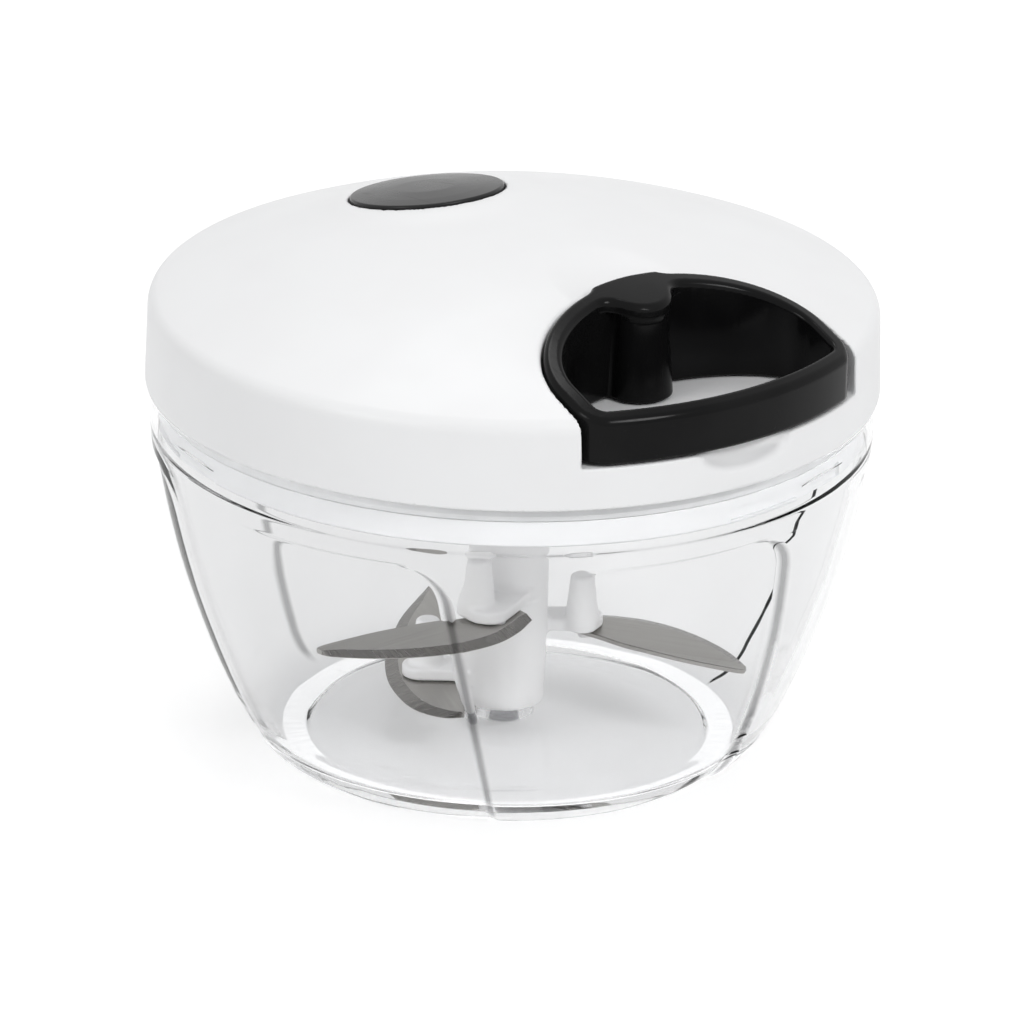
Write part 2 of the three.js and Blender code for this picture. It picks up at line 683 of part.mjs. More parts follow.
// The plate closes the lid from below. Its skirt enters the rim, carries the seal and locks on the lugs.
function makeBase() {
  const skirtRadius = rimInnerRadius - skirtGap;
  const skirtInner = skirtRadius - skirtThickness;
  const skirtBottom = plateBottom - skirtDepth;
  const sealTop = plateBottom - sealTopDrop;
  const sealBottom = sealTop - sealHeight;
  const grooveRadius = skirtRadius - sealDepth;
  const collarInner = socketRadius + runningGap * 2;
  const collarOuter = collarInner + collarWall;
  const collarTop = drumBottom - pieceGap;
  const plateRadius = coverRadius - coverWall - skirtGap;
  let base = solid(turned([
    [collarInner, plateBottom], [skirtInner, plateBottom], [skirtInner, skirtBottom],
    [skirtRadius, skirtBottom], [skirtRadius, sealBottom - seatGap], [grooveRadius, sealBottom - seatGap],
    [grooveRadius, sealTop + seatGap], [skirtRadius, sealTop + seatGap],
    [plateRadius, plateBottom + seatGap * 2], [plateRadius, plateTop], [collarOuter, plateTop],
    [collarOuter, collarTop], [collarInner, collarTop],
  ], fineTurn));
  const slotTop = lugTop + (lockSlotHeight - lugHeight) / 2;
  const slotInner = rimInnerRadius - lugReach - pieceGap;
  const slotOuter = skirtRadius + overrun;
  const entryDegrees = lugDegrees + lugPlayDegrees;
  for (let i = 0; i < lugCount; i++) {
    const middle = lugBaseDegrees + i * 360 / lugCount;
    base = base.subtract(sector(slotInner, slotOuter, middle, entryDegrees, skirtBottom - overrun, slotTop));
    const runMiddle = middle - lockTurnDegrees / 2;
    const runDegrees = entryDegrees + lockTurnDegrees;
    const runBottom = skirtBottom + lockLipHeight;
    base = base.subtract(sector(slotInner, slotOuter, runMiddle, runDegrees, runBottom, slotTop));
  }
  for (const [x, y] of lidScrewPlaces) {
    const hole = upright(screwShankRadius + seatGap, plateBottom - overrun, plateTop + overrun);
    base = base.subtract(solid(hole.translate(x, y, 0)));
  }
  place('lid_base', base, whitePlastic);
  const sealOuter = rimInnerRadius - sealGap;
  const sealInner = grooveRadius + seatGap;
  place('lid_seal', turned([
    [sealInner, sealBottom], [sealOuter - seatGap, sealBottom], [sealOuter, sealBottom + sealHeight / 2],
    [sealOuter - seatGap, sealTop], [sealInner, sealTop],
  ], fineTurn), silicone);
}

// A pan-headed screw that stands on its head.
function screw(length) {
  const crown = screwHeadHeight / 3;
  return turned([
    [0, -screwHeadHeight], [screwHeadRadius - crown, -screwHeadHeight],
    [screwHeadRadius, crown - screwHeadHeight], [screwHeadRadius, 0], [screwShankRadius, 0],
    [screwShankRadius, length], [0, length],
  ], tinyTurn);
}

function makeFasteners() {
  lidScrewPlaces.forEach(([x, y], i) => {
    place(`lid_screw_${i + 1}`, screw(lidScrewLength).translate(x, y, plateBottom - seatGap), brightSteel);
  });
  place('axle_screw', screw(axleScrewLength).translate(0, 0, axleScrewSeat), brightSteel);
  const screwHole = screwShankRadius + seatGap;
  const tapped = upright(screwHole, axleBottom - overrun, axleBottom + axleScrewLength);
  const axle = solid(upright(axleRadius, axleBottom, axleTop, smallTurn)).subtract(solid(tapped));
  place('drum_axle', axle, brightSteel);
  place('axle_washer', turned([
    [screwHole, washerBottom], [washerRadius, washerBottom],
    [washerRadius, washerTop], [screwHole, washerTop],
  ], smallTurn), brightSteel);
}

function makeDisc() {
  const bottom = seatGap - discSeatDepth;
  const top = discLift - plateauLift;
  const crown = discCrownShares.map(([out, up]) => [discRadius * out, top + discCrown * up]);
  const disc = turned([
    [0, bottom], [discRadius, bottom], [discRadius, top - discEdgeBevel], [discRadius - discEdgeBevel, top],
    ...crown, [0, top + discCrown],
  ], midTurn);
  place('top_disc', onPlateau(disc), discBlack);
}

// The drum is turned by the cord and drives the spindle's fins through the dogs of the socket under it.
function makeDrum() {
  const bore = axleRadius + runningGap;
  let drum = solid(turned([
    [bore, drumBottom], [drumFlangeRadius, drumBottom], [drumFlangeRadius, grooveBottom],
    [drumBarrelRadius, grooveBottom], [drumBarrelRadius, grooveTop], [drumFlangeRadius, grooveTop],
    [drumFlangeRadius, drumTop], [drumCupRadius, drumTop], [drumCupRadius, grooveBottom],
    [bore, grooveBottom],
  ], midTurn));
  let socket = solid(turned([
    [socketBore, socketBottom], [socketRadius, socketBottom], [socketRadius, socketTop], [bore, socketTop],
    [bore, socketCeiling], [socketBore, socketCeiling],
  ], midTurn));
  const dogOuter = (socketBore + socketRadius) / 2;
  const dogTop = driveHeadTop + dogLead;
  for (let i = 0; i < driveCount; i++) {
    const [x, y] = around(i * 360 / driveCount, drivePinCircle);
    const hole = upright(drivePinRadius + seatGap, drumBottom - overrun, grooveBottom + overrun);
    const pin = upright(drivePinRadius, socketTop - socketTopWall / 2, socketTop + drivePinHeight);
    drum = drum.subtract(solid(hole.translate(x, y, 0)));
    socket = socket.add(solid(pin.translate(x, y, 0)));
    const middle = (i + 1 / 2) * 360 / driveCount;
    socket = socket.add(sector(dogInnerRadius, dogOuter, middle, dogDegrees, socketBottom, dogTop));
  }
  place('cord_drum', drum, naturalPlastic);
  place('drive_socket', socket, naturalPlastic);
}

// The cord's turns on the barrel, as one ring with a bulge for each turn of the outer layer.
const windingInner = drumBarrelRadius + seatGap;
const windingRadius = windingInner + cordRadius * (2 * cordLayers - 1);

function makeWinding() {
  const turns = Math.floor((drumGrooveHeight - pieceGap * 2) / (cordRadius * 2));
  const bottom = cordLevel - turns * cordRadius;
  const profile = [[windingInner, bottom], [windingRadius, bottom]];
  for (let turn = 0; turn < turns; turn++) {
    for (let step = 1; step <= bumpSteps; step++) {
      const angle = Math.PI * step / bumpSteps;
      const z = bottom + cordRadius * (2 * turn + 1 - Math.cos(angle));
      profile.push([windingRadius + cordRadius * Math.sin(angle), z]);
    }
  }
  profile.push([windingInner, bottom + turns * cordRadius * 2]);
  place('cord_winding', turned(profile, midTurn), nylonCord);
}

// The cord leaves the winding on a tangent, turns in the eyelet and runs out to the knot in the post.
const knotY = handleBackY - handleWall - postReach / 2 + postRadius / 2;

function makeCord() {
  const bendY = notchBack + notchWall + eyeletFlangeThickness + cordRadius;
  const tangent = Math.acos(windingRadius / -bendY);
  const touch = new THREE.Vector3(cordSide * Math.sin(tangent), -Math.cos(tangent), 0);
  touch.multiplyScalar(windingRadius);
  const clearRadius = windingRadius + cordRadius * 2 + pieceGap;
  const fullRun = Math.sqrt(bendY ** 2 - windingRadius ** 2);
  const startShare = Math.sqrt(clearRadius ** 2 - windingRadius ** 2) / fullRun;
  const bend = new THREE.Vector3(0, bendY, 0);
  const start = touch.lerp(bend, startShare);
  const out = new THREE.Vector3(0, notchBack - notchGap / 2, 0);
  const before = bend.clone().lerp(start, cordBendShare);
  const after = bend.clone().lerp(out, cordBendShare);
  const path = new THREE.CurvePath();
  path.add(new THREE.LineCurve3(start, before));
  path.add(new THREE.QuadraticBezierCurve3(before, bend, after));
  path.add(new THREE.LineCurve3(after, out));
  const section = new THREE.Shape();
  section.absarc(0, 0, cordRadius, 0, Math.PI * 2, false);
  const run = new THREE.ExtrudeGeometry(section, {
    steps: cordSteps, extrudePath: path, bevelEnabled: false, curveSegments: cordTurn / 2,
  });
  place('cord_run', run.translate(0, 0, cordLevel), nylonCord);
  const leadEnd = knotY + knotRadius + seatGap;
  const lead = new THREE.CylinderGeometry(cordRadius, cordRadius, handleBackY - leadEnd, cordTurn);
  place('cord_lead', lead.translate(0, (handleBackY + leadEnd) / 2, cordLevel), nylonCord);
  const knot = new THREE.SphereGeometry(knotRadius, tinyTurn, tinyTurn / 2);
  place('cord_knot', knot.translate(0, knotY, cordLevel), nylonCord);
}

function makeSpring() {
  const coverTop = drumTop - seatGap;
  const coverBottom = coverTop - springCoverThickness;
  const arborClear = arborRadius + runningGap;
  const innerRadius = arborClear + springThickness;
  const outerRadius = drumCupRadius - runningGap - springThickness;
  const springTurns = Math.floor((outerRadius - innerRadius) / springPitch);
  const steps = springTurns * smallTurn;
  const outside = [];
  const inside = [];
  for (let i = 0; i <= steps; i++) {
    const angle = 2 * Math.PI * springTurns * i / steps;
    const radius = THREE.MathUtils.lerp(innerRadius, outerRadius, i / steps);
    const direction = new THREE.Vector2(Math.cos(angle), Math.sin(angle));
    outside.push(direction.clone().multiplyScalar(radius + springThickness / 2));
    inside.push(direction.clone().multiplyScalar(radius - springThickness / 2));
  }
  const strip = new THREE.Shape([...outside, ...inside.reverse()]);
  const spring = prism(strip, grooveBottom + pieceGap, coverBottom - springHeadroom, tinyTurn);
  place('rewind_spring', spring, springSteel);
  const coverOuter = drumCupRadius - seatGap;
  place('spring_cover', turned([
    [arborClear, coverBottom], [coverOuter, coverBottom], [coverOuter, coverTop], [arborClear, coverTop],
  ], midTurn), naturalPlastic);
}

function makeEyelet() {
  const flangeAt = notchWall + seatGap;
  const bush = turned([
    [eyeletBore, 0], [eyeletRadius, 0], [eyeletRadius, flangeAt], [eyeletFlangeRadius, flangeAt],
    [eyeletFlangeRadius, notchWall + eyeletFlangeThickness], [eyeletBore, notchWall + eyeletFlangeThickness],
  ], tinyTurn).rotateX(-Math.PI / 2);
  place('cord_eyelet', bush.translate(0, notchBack, cordLevel), brightSteel);
}

// Height of the handle's top at a distance from the lid's axis.
const handleTopCentreZ = domeApexZ + handleProud - handleTopSphere;
const handleTopZ = (radius) => handleTopCentreZ + Math.sqrt(handleTopSphere ** 2 - radius ** 2);

// Pairs of outer and inner places round the D: the half oval, a corner, the grip and the other corner.
function handleStations() {
  const stations = [];
  const innerX = handleHalfWidth - handleWall;
  const innerDepth = handleArcDepth - handleWall;
  for (let i = 0; i <= handleSideSteps; i++) {
    const angle = Math.PI * i / handleSideSteps;
    stations.push({
      outer: [handleHalfWidth * Math.cos(angle), handleArcCentreY + handleArcDepth * Math.sin(angle)],
      inner: [innerX * Math.cos(angle), handleArcCentreY + innerDepth * Math.sin(angle)],
    });
  }
  const cornerReach = handleGripRadius - handleCornerRadius;
  const cornerTurn = Math.asin((handleHalfWidth - handleCornerRadius) / cornerReach);
  const [cornerX, cornerY] = [cornerReach * Math.sin(cornerTurn), -cornerReach * Math.cos(cornerTurn)];
  const innerGrip = handleGripRadius - handleWall;
  const innerTurn = Math.asin((innerX - handleCornerRadius) / innerGrip);
  const innerY = -innerGrip * Math.cos(innerTurn);
  const corner = [];
  for (let i = 0; i <= arcSteps; i++) {
    const share = i / arcSteps;
    const angle = Math.PI + (Math.PI / 2 - cornerTurn) * share;
    const outerX = handleCornerRadius * Math.cos(angle) - cornerX;
    const outerY = handleCornerRadius * Math.sin(angle) + cornerY;
    corner.push({
      outer: [outerX, outerY],
      inner: [handleCornerRadius * share - innerX, handleCornerRadius * (1 - share) ** 2 + innerY],
    });
  }
  stations.push(...corner);
  for (let i = 1; i < handleGripSteps; i++) {
    const share = 2 * i / handleGripSteps - 1;
    const outerAngle = cornerTurn * share;
    const innerAngle = innerTurn * share;
    stations.push({
      outer: [handleGripRadius * Math.sin(outerAngle), -handleGripRadius * Math.cos(outerAngle)],
      inner: [innerGrip * Math.sin(innerAngle), -innerGrip * Math.cos(innerAngle)],
    });
  }
  const flip = ([x, y]) => [-x, y];
  const otherCorner = corner.map(({ outer, inner }) => ({ outer: flip(outer), inner: flip(inner) }));
  stations.push(...otherCorner.reverse());
  return stations;
}

// The ring of the handle: a section of six corners carried round the D.
function handleRing() {
  const spots = [];
  const stations = handleStations();
  const onTop = (x, y, drop) => new THREE.Vector3(x, y, handleTopZ(Math.hypot(x, y)) - drop);
  for (const { outer, inner } of stations) {
    const across = new THREE.Vector2(inner[0] - outer[0], inner[1] - outer[1]).setLength(handleBevel);
    spots.push(new THREE.Vector3(...outer, handleBottom));
    spots.push(onTop(...outer, handleBevel));
    spots.push(onTop(outer[0] + across.x, outer[1] + across.y, 0));
    spots.push(onTop(inner[0] - across.x, inner[1] - across.y, 0));
    spots.push(onTop(...inner, handleBevel));
    spots.push(new THREE.Vector3(...inner, handleBottom));
  }
  const sides = spots.length / stations.length;
  const index = [];
  for (let i = 0; i < stations.length; i++) {
    const next = (i + 1) % stations.length;
    for (let k = 0; k < sides; k++) {
      const up = (k + 1) % sides;
      index.push(i * sides + k, next * sides + k, next * sides + up);
      index.push(i * sides + k, next * sides + up, i * sides + up);
    }
  }
  const ring = new THREE.BufferGeometry().setFromPoints(spots);
  ring.setIndex(index);
  return ring;
}

// A tongue with flared sides reaches in from the ring's back and carries the post, which hides the knot.
function makeHandle() {
  const backInside = handleBackY - handleWall;
  const rootY = backInside + handleWall / 2;
  const postY = backInside - postReach + postRadius;
  const topZ = handleTopZ(backInside) - handleBevel;
  const tongue = new THREE.Shape();
  tongue.moveTo(tongueRootHalfWidth, rootY);
  tongue.quadraticCurveTo(tongueHalfWidth, backInside, tongueHalfWidth, postY);
  tongue.absellipse(0, postY, tongueHalfWidth, postRadius, 0, -Math.PI, true);
  tongue.quadraticCurveTo(-tongueHalfWidth, backInside, -tongueRootHalfWidth, rootY);
  const post = new THREE.Shape();
  post.moveTo(postRadius, rootY);
  post.lineTo(postRadius, postY);
  post.absarc(0, postY, postRadius, 0, -Math.PI, true);
  post.lineTo(-postRadius, rootY);
  let handle = solid(handleRing()).add(solid(prism(tongue, topZ - tongueThickness, topZ, tinyTurn)));
  handle = handle.add(solid(prism(post, handleBottom, topZ - tongueThickness / 2, tinyTurn)));
  const holeRadius = cordRadius + pieceGap;
  const cordHole = new THREE.CylinderGeometry(holeRadius, holeRadius, (rootY - knotY) * 2, tinyTurn);
  handle = handle.subtract(solid(cordHole.translate(0, rootY, cordLevel)));
  const knotRoom = knotRadius + pieceGap;
  const pocket = upright(knotRoom, handleBottom - overrun, cordLevel + knotRoom);
  place('handle', handle.subtract(solid(pocket.translate(0, knotY, 0))), blackGloss);
}

makeBowl();
makeSpindle();
blades.forEach(makeBlade);
makeCover();
makeBase();
makeFasteners();
makeDisc();
makeDrum();
makeWinding();
makeCord();
makeSpring();
makeEyelet();
makeHandle();

export default group;
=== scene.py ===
# %% [markdown]
# # A pull-cord food chopper
# The real chopper is a clear bowl, a stack of curved blades on a white spindle, and a white lid
# with a black pull handle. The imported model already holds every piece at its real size, with the
# joints between them. It could be shown as it is, but it is made of flat facets. So this script
# keeps it as a fixed frame and builds a fine surface and a finish for each piece around it.

# %% Load the fixed frame
import math

import bpy
import numpy as np
from mathutils import Matrix, Vector


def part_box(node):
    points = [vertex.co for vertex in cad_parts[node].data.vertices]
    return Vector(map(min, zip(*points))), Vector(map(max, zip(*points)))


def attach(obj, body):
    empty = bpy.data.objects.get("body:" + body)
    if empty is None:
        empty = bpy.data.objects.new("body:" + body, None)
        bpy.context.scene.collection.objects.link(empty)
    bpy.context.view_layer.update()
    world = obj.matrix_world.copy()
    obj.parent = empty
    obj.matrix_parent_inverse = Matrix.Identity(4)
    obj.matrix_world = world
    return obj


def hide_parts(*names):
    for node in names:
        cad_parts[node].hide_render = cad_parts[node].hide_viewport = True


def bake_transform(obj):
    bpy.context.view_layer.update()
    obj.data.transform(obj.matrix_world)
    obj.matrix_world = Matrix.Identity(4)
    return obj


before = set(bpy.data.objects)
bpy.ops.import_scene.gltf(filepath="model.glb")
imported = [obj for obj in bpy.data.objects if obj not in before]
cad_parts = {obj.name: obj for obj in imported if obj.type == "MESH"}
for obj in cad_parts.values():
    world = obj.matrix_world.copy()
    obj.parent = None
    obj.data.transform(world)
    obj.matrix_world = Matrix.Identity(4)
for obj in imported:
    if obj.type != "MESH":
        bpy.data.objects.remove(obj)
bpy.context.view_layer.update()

MM = 0.001
PHOTO_SIZE = 1024


def box_mm(node):
    """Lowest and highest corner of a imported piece, in millimetres."""
    return [np.array(corner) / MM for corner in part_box(node)]


def new_object(name, data):
    """An object in the scene that shows a mesh, a lamp or a camera."""
    thing = bpy.data.objects.new(name, data)
    bpy.context.scene.collection.objects.link(thing)
    return thing


# %% [markdown]
# ## Camera
# The photograph was taken from about 1.3 m with a long lens, a little above the table. Such a view
# could be made with Blender's usual lens and a close camera, but then the lid's curve would look
# too strong. So the camera has the distance, the focal length and the small tilt that were measured
# from the ellipses of the lid and the foot.

# %% Place the camera at the photograph's angle
VIEW_AZIMUTH = math.radians(-38.8)
VIEW_GROUND_DISTANCE = 1188.2 * MM
VIEW_HEIGHT = 515.5 * MM
VIEW_AIM_SIDE = 0.379 * MM
VIEW_AIM_HEIGHT = 40.24 * MM
VIEW_ROLL = 0.021
FOCAL_PIXELS = 7470.0
SENSOR_WIDTH = 36.0


def make_camera():
    turn = Matrix.Rotation(VIEW_AZIMUTH, 3, "Z")
    place = turn @ Vector((0, -VIEW_GROUND_DISTANCE, VIEW_HEIGHT))
    aim = turn @ Vector((VIEW_AIM_SIDE, 0, VIEW_AIM_HEIGHT))
    ahead = (aim - place).normalized()
    right = ahead.cross(Vector((0, 0, 1))).normalized()
    up = right.cross(ahead)
    tilted_right = right * math.cos(VIEW_ROLL) + up * math.sin(VIEW_ROLL)
    tilted_up = up * math.cos(VIEW_ROLL) - right * math.sin(VIEW_ROLL)
    lens = bpy.data.cameras.new("camera")
    lens.sensor_width = SENSOR_WIDTH
    lens.lens = FOCAL_PIXELS / PHOTO_SIZE * SENSOR_WIDTH
    lens.clip_start, lens.clip_end = 0.05, 20.0
    camera = new_object("camera", lens)
    axes = Matrix((tilted_right, tilted_up, -ahead)).transposed()
    camera.matrix_world = Matrix.Translation(place) @ axes.to_4x4()
    bpy.context.scene.camera = camera
    return camera


camera = make_camera()
print("the lens is", round(camera.data.lens), "mm long")

# %% [markdown]
# ## Shader tools
# A material is a small network of nodes. Networks can be drawn by hand in the Shader Editor, but
# here they are written as code, so that each one can be read from top to bottom. A helper adds a
# node, sets its values and joins its inputs in one line.


# %% Helpers that write node networks
class Nodes:
    """Adds nodes to a tree. A value given for an input is either a number or the output of another node."""

    def __init__(self, tree):
        self.tree = tree

    def add(self, kind, inputs=(), **settings):
        node = self.tree.nodes.new(kind)
        for name, value in settings.items():
            setattr(node, name, value)
        self.feed(node, dict(inputs))
        return node

    def feed(self, node, inputs):
        """Sets inputs of a node, or joins them to outputs of other nodes."""
        for name, value in inputs.items():
            if isinstance(value, bpy.types.NodeSocket):
                self.tree.links.new(value, node.inputs[name])
            else:
                node.inputs[name].default_value = value

    def math(self, operation, first, second=0.0):
        return self.add("ShaderNodeMath", {0: first, 1: second}, operation=operation).outputs[0]

    def spread(self, value, low, high, to_low, to_high):
        """Moves a value from one range to another, and stops at its ends."""
        names = ("Value", "From Min", "From Max", "To Min", "To Max")
        node = self.add("ShaderNodeMapRange", dict(zip(names, (value, low, high, to_low, to_high))))
        return node.outputs["Result"]

    def stretched(self, scale):
        """Object coordinates, drawn out along the axes with a small scale."""
        place = self.add("ShaderNodeTexCoord").outputs["Object"]
        return self.add("ShaderNodeVectorMath", {0: place, 1: scale}, operation="MULTIPLY").outputs[0]

    def blend_colours(self, share, first, second):
        node = self.add("ShaderNodeMix", {"Factor": share}, data_type="RGBA")
        for socket, value in ((node.inputs[6], first), (node.inputs[7], second)):
            if isinstance(value, bpy.types.NodeSocket):
                self.tree.links.new(value, socket)
            else:
                socket.default_value = (*value, 1)
        return node.outputs[2]

    def surface(self, shader, tint, rough, height, depth):
        """Joins a colour, a roughness and a bump of a given depth in metres to a shader."""
        bump = self.add("ShaderNodeBump", {"Height": height, "Strength": 1.0, "Distance": depth})
        self.feed(shader, {"Base Color": tint, "Roughness": rough, "Normal": bump.outputs["Normal"]})


def new_group(name, inputs, outputs):
    """An empty node group with named inputs and outputs, and a writer for it."""
    tree = bpy.data.node_groups.new(name, "ShaderNodeTree")
    for label, value in inputs.items():
        socket = tree.interface.new_socket(label, in_out="INPUT", socket_type="NodeSocketFloat")
        socket.default_value = value
    for label in outputs:
        tree.interface.new_socket(label, in_out="OUTPUT", socket_type="NodeSocketFloat")
    nodes = Nodes(tree)
    return tree, nodes, nodes.add("NodeGroupInput"), nodes.add("NodeGroupOutput")


def new_material(name, **values):
    """A material with one Principled BSDF, whose plain values are given by name."""
    material = bpy.data.materials.new(name)
    material.use_nodes = True
    material.node_tree.nodes.clear()
    nodes = Nodes(material.node_tree)
    shader = nodes.add("ShaderNodeBsdfPrincipled")
    out = nodes.add("ShaderNodeOutputMaterial", {"Surface": shader.outputs[0]})
    for label, value in values.items():
        socket = shader.inputs[label.replace("_", " ")]
        socket.default_value = (*value, 1) if label == "Base_Color" else value
    return material, nodes, shader, out


print("the helpers are ready")

# %% [markdown]
# ## Floor, backdrop and lamps
# The chopper was photographed on plain white, with a faint shadow at its foot. More light would
# turn the floor white but would also burn out the lid. So the floor and the world look white only
# to rays from the camera, or to rays that a shiny or clear surface sends on, and the light that
# falls on the chopper stays plain.

# %% A white floor that keeps the shadow
FLOOR_HALF_SIZE = 4.0
FLOOR_COLOUR = (0.8, 0.8, 0.8, 1)
WHITE = (1, 1, 1, 1)
FLOOR_LIFT = 0.42
WORLD_LIGHT = 0.6


def seen_directly(nodes):
    """1 for rays of the camera, of gloss and of clear surfaces, 0 for light that falls on things."""
    path = nodes.add("ShaderNodeLightPath").outputs
    some = nodes.math("MAXIMUM", path["Is Camera Ray"], path["Is Glossy Ray"])
    return nodes.math("MAXIMUM", some, path["Is Transmission Ray"])


def make_floor():
    half = FLOOR_HALF_SIZE
    mesh = bpy.data.meshes.new("floor")
    corners = [(-half, -half, 0), (half, -half, 0), (half, half, 0), (-half, half, 0)]
    mesh.from_pydata(corners, [], [(0, 1, 2, 3)])
    material, nodes, shader, _ = new_material("floor_white", Roughness=0.9, Specular_IOR_Level=0.0)
    lift = nodes.math("MULTIPLY", seen_directly(nodes), FLOOR_LIFT)
    nodes.feed(shader, {"Base Color": FLOOR_COLOUR, "Emission Color": WHITE, "Emission Strength": lift})
    mesh.materials.append(material)
    new_object("floor", mesh)


def make_world():
    world = bpy.data.worlds.new("studio")
    world.use_nodes = True
    world.node_tree.nodes.clear()
    nodes = Nodes(world.node_tree)
    strength = nodes.spread(seen_directly(nodes), 0.0, 1.0, WORLD_LIGHT, 1.0)
    background = nodes.add("ShaderNodeBackground", {"Color": WHITE, "Strength": strength})
    nodes.add("ShaderNodeOutputWorld", {"Surface": background.outputs[0]})
    bpy.context.scene.world = world


make_floor()
make_world()
bpy.context.scene.view_settings.view_transform = "Standard"
print("the floor is", 2 * FLOOR_HALF_SIZE, "m wide")

# %% Soft lamps
LAMP_AIM = Vector((0, 0, 0.05))
LAMPS = {
    "key_lamp": {"azimuth": 5, "elevation": 38, "distance": 1.5, "width": 0.45, "power": 6.0},
    "fill_lamp": {"azimuth": -85, "elevation": 28, "distance": 1.5, "width": 0.5, "power": 3.3},
    "top_lamp": {"azimuth": 150, "elevation": 65, "distance": 1.4, "width": 0.5, "power": 3.0},
}


def direction(azimuth, elevation):
    a, e = math.radians(azimuth), math.radians(elevation)
    return Vector((math.sin(a) * math.cos(e), -math.cos(a) * math.cos(e), math.sin(e)))


def make_lamp(name, azimuth, elevation, distance, width, power):
    light = bpy.data.lights.new(name, "AREA")
    light.shape = "DISK"
    light.size = width
    light.energy = power
    lamp = new_object(name, light)
    away = direction(azimuth, elevation)
    lamp.location = LAMP_AIM + away * distance
    lamp.rotation_mode = "QUATERNION"
    lamp.rotation_quaternion = (-away).to_track_quat("-Z", "Y")


for name, values in LAMPS.items():
    make_lamp(name, **values)
print("lamps:", ", ".join(LAMPS))

# %% [markdown]
# ## Effects that several finishes share
# Moulded plastic is never perfectly even: the steel mould leaves a fine grain, the colour is a
# little cloudy, and use leaves hair-thin marks. Each effect could be drawn again in every material.
# It is made once as a node group instead, with inputs for its size and strength, and each material
# mixes it in with its own values.


# %% Grain of a mould, as a height and as a cloudy mask
def make_mould_grain():
    inputs = {"Grains per metre": 2500.0, "Clouds per metre": 60.0}
    tree, nodes, given, result = new_group("mould_grain", inputs, ["Height", "Clouds"])
    place = nodes.add("ShaderNodeTexCoord").outputs["Object"]
    fine = {"Vector": place, "Scale": given.outputs["Grains per metre"], "Detail": 3.0, "Roughness": 0.6}
    wide = {"Vector": place, "Scale": given.outputs["Clouds per metre"], "Detail": 2.0, "Roughness": 0.5}
    grain = nodes.add("ShaderNodeTexNoise", fine).outputs["Fac"]
    clouds = nodes.add("ShaderNodeTexNoise", wide).outputs["Fac"]
    nodes.feed(result, {"Height": grain, "Clouds": nodes.spread(clouds, 0.35, 0.65, 0.0, 1.0)})
    return tree


MOULD_GRAIN = make_mould_grain()
print("made the group", MOULD_GRAIN.name)


# %% Hair-thin marks of use, in two crossing directions
def make_use_marks():
    tree, nodes, given, result = new_group("use_marks", {"Marks per metre": 40.0, "Share": 0.35}, ["Mask"])
    masks = []
    for scale in ((1.0, 26.0, 6.0), (22.0, 1.4, 9.0)):
        place = nodes.stretched(scale)
        noise = {"Vector": place, "Scale": given.outputs["Marks per metre"], "Detail": 1.0}
        value = nodes.add("ShaderNodeTexNoise", noise).outputs["Fac"]
        masks.append(nodes.spread(value, 0.68, 0.74, 0.0, 1.0))
    both = nodes.math("MAXIMUM", *masks)
    nodes.feed(result, {"Mask": nodes.math("MULTIPLY", both, given.outputs["Share"])})
    return tree


USE_MARKS = make_use_marks()
print("made the group", USE_MARKS.name)


# %% Brushed or turned metal, as fine grooves
def make_metal_lines():
    inputs = {"Along": 30.0, "Across": 6000.0, "Turned": 0.0}
    tree, nodes, given, result = new_group("metal_lines", inputs, ["Height", "Streaks"])
    place = nodes.add("ShaderNodeTexCoord").outputs["Object"]
    parts = nodes.add("ShaderNodeSeparateXYZ", {0: place}).outputs
    squares = [nodes.math("POWER", part, 2.0) for part in (parts[0], parts[1])]
    radius = nodes.math("SQRT", nodes.math("ADD", *squares))
    turned_x = nodes.math("MULTIPLY", nodes.math("ARCTAN2", parts[1], parts[0]), radius)
    is_turned = given.outputs["Turned"]
    along = nodes.add("ShaderNodeMix", {"Factor": is_turned, 2: parts[0], 3: turned_x}).outputs[0]
    across = nodes.add("ShaderNodeMix", {"Factor": is_turned, 2: parts[1], 3: radius}).outputs[0]
    sides = {
        "X": nodes.math("MULTIPLY", along, given.outputs["Along"]),
        "Y": nodes.math("MULTIPLY", across, given.outputs["Across"]),
        "Z": nodes.math("MULTIPLY", parts[2], given.outputs["Across"]),
    }
    place = nodes.add("ShaderNodeCombineXYZ", sides).outputs[0]
    lines = nodes.add("ShaderNodeTexNoise", {"Vector": place, "Scale": 1.0, "Detail": 2.0}).outputs["Fac"]
    nodes.feed(result, {"Height": lines, "Streaks": nodes.spread(lines, 0.3, 0.7, 0.0, 1.0)})
    return tree


METAL_LINES = make_metal_lines()
print("made the group", METAL_LINES.name)

# %% [markdown]
# ## Plastics
# The lid and the spindle are white plastic, the handle and the disc black, and the drum is left in
# its natural cream colour. All of them are one Principled BSDF: what tells them apart is how deep
# the grain of the mould is and how much the gloss changes over the surface. So one function makes
# them, and each call gives the values.


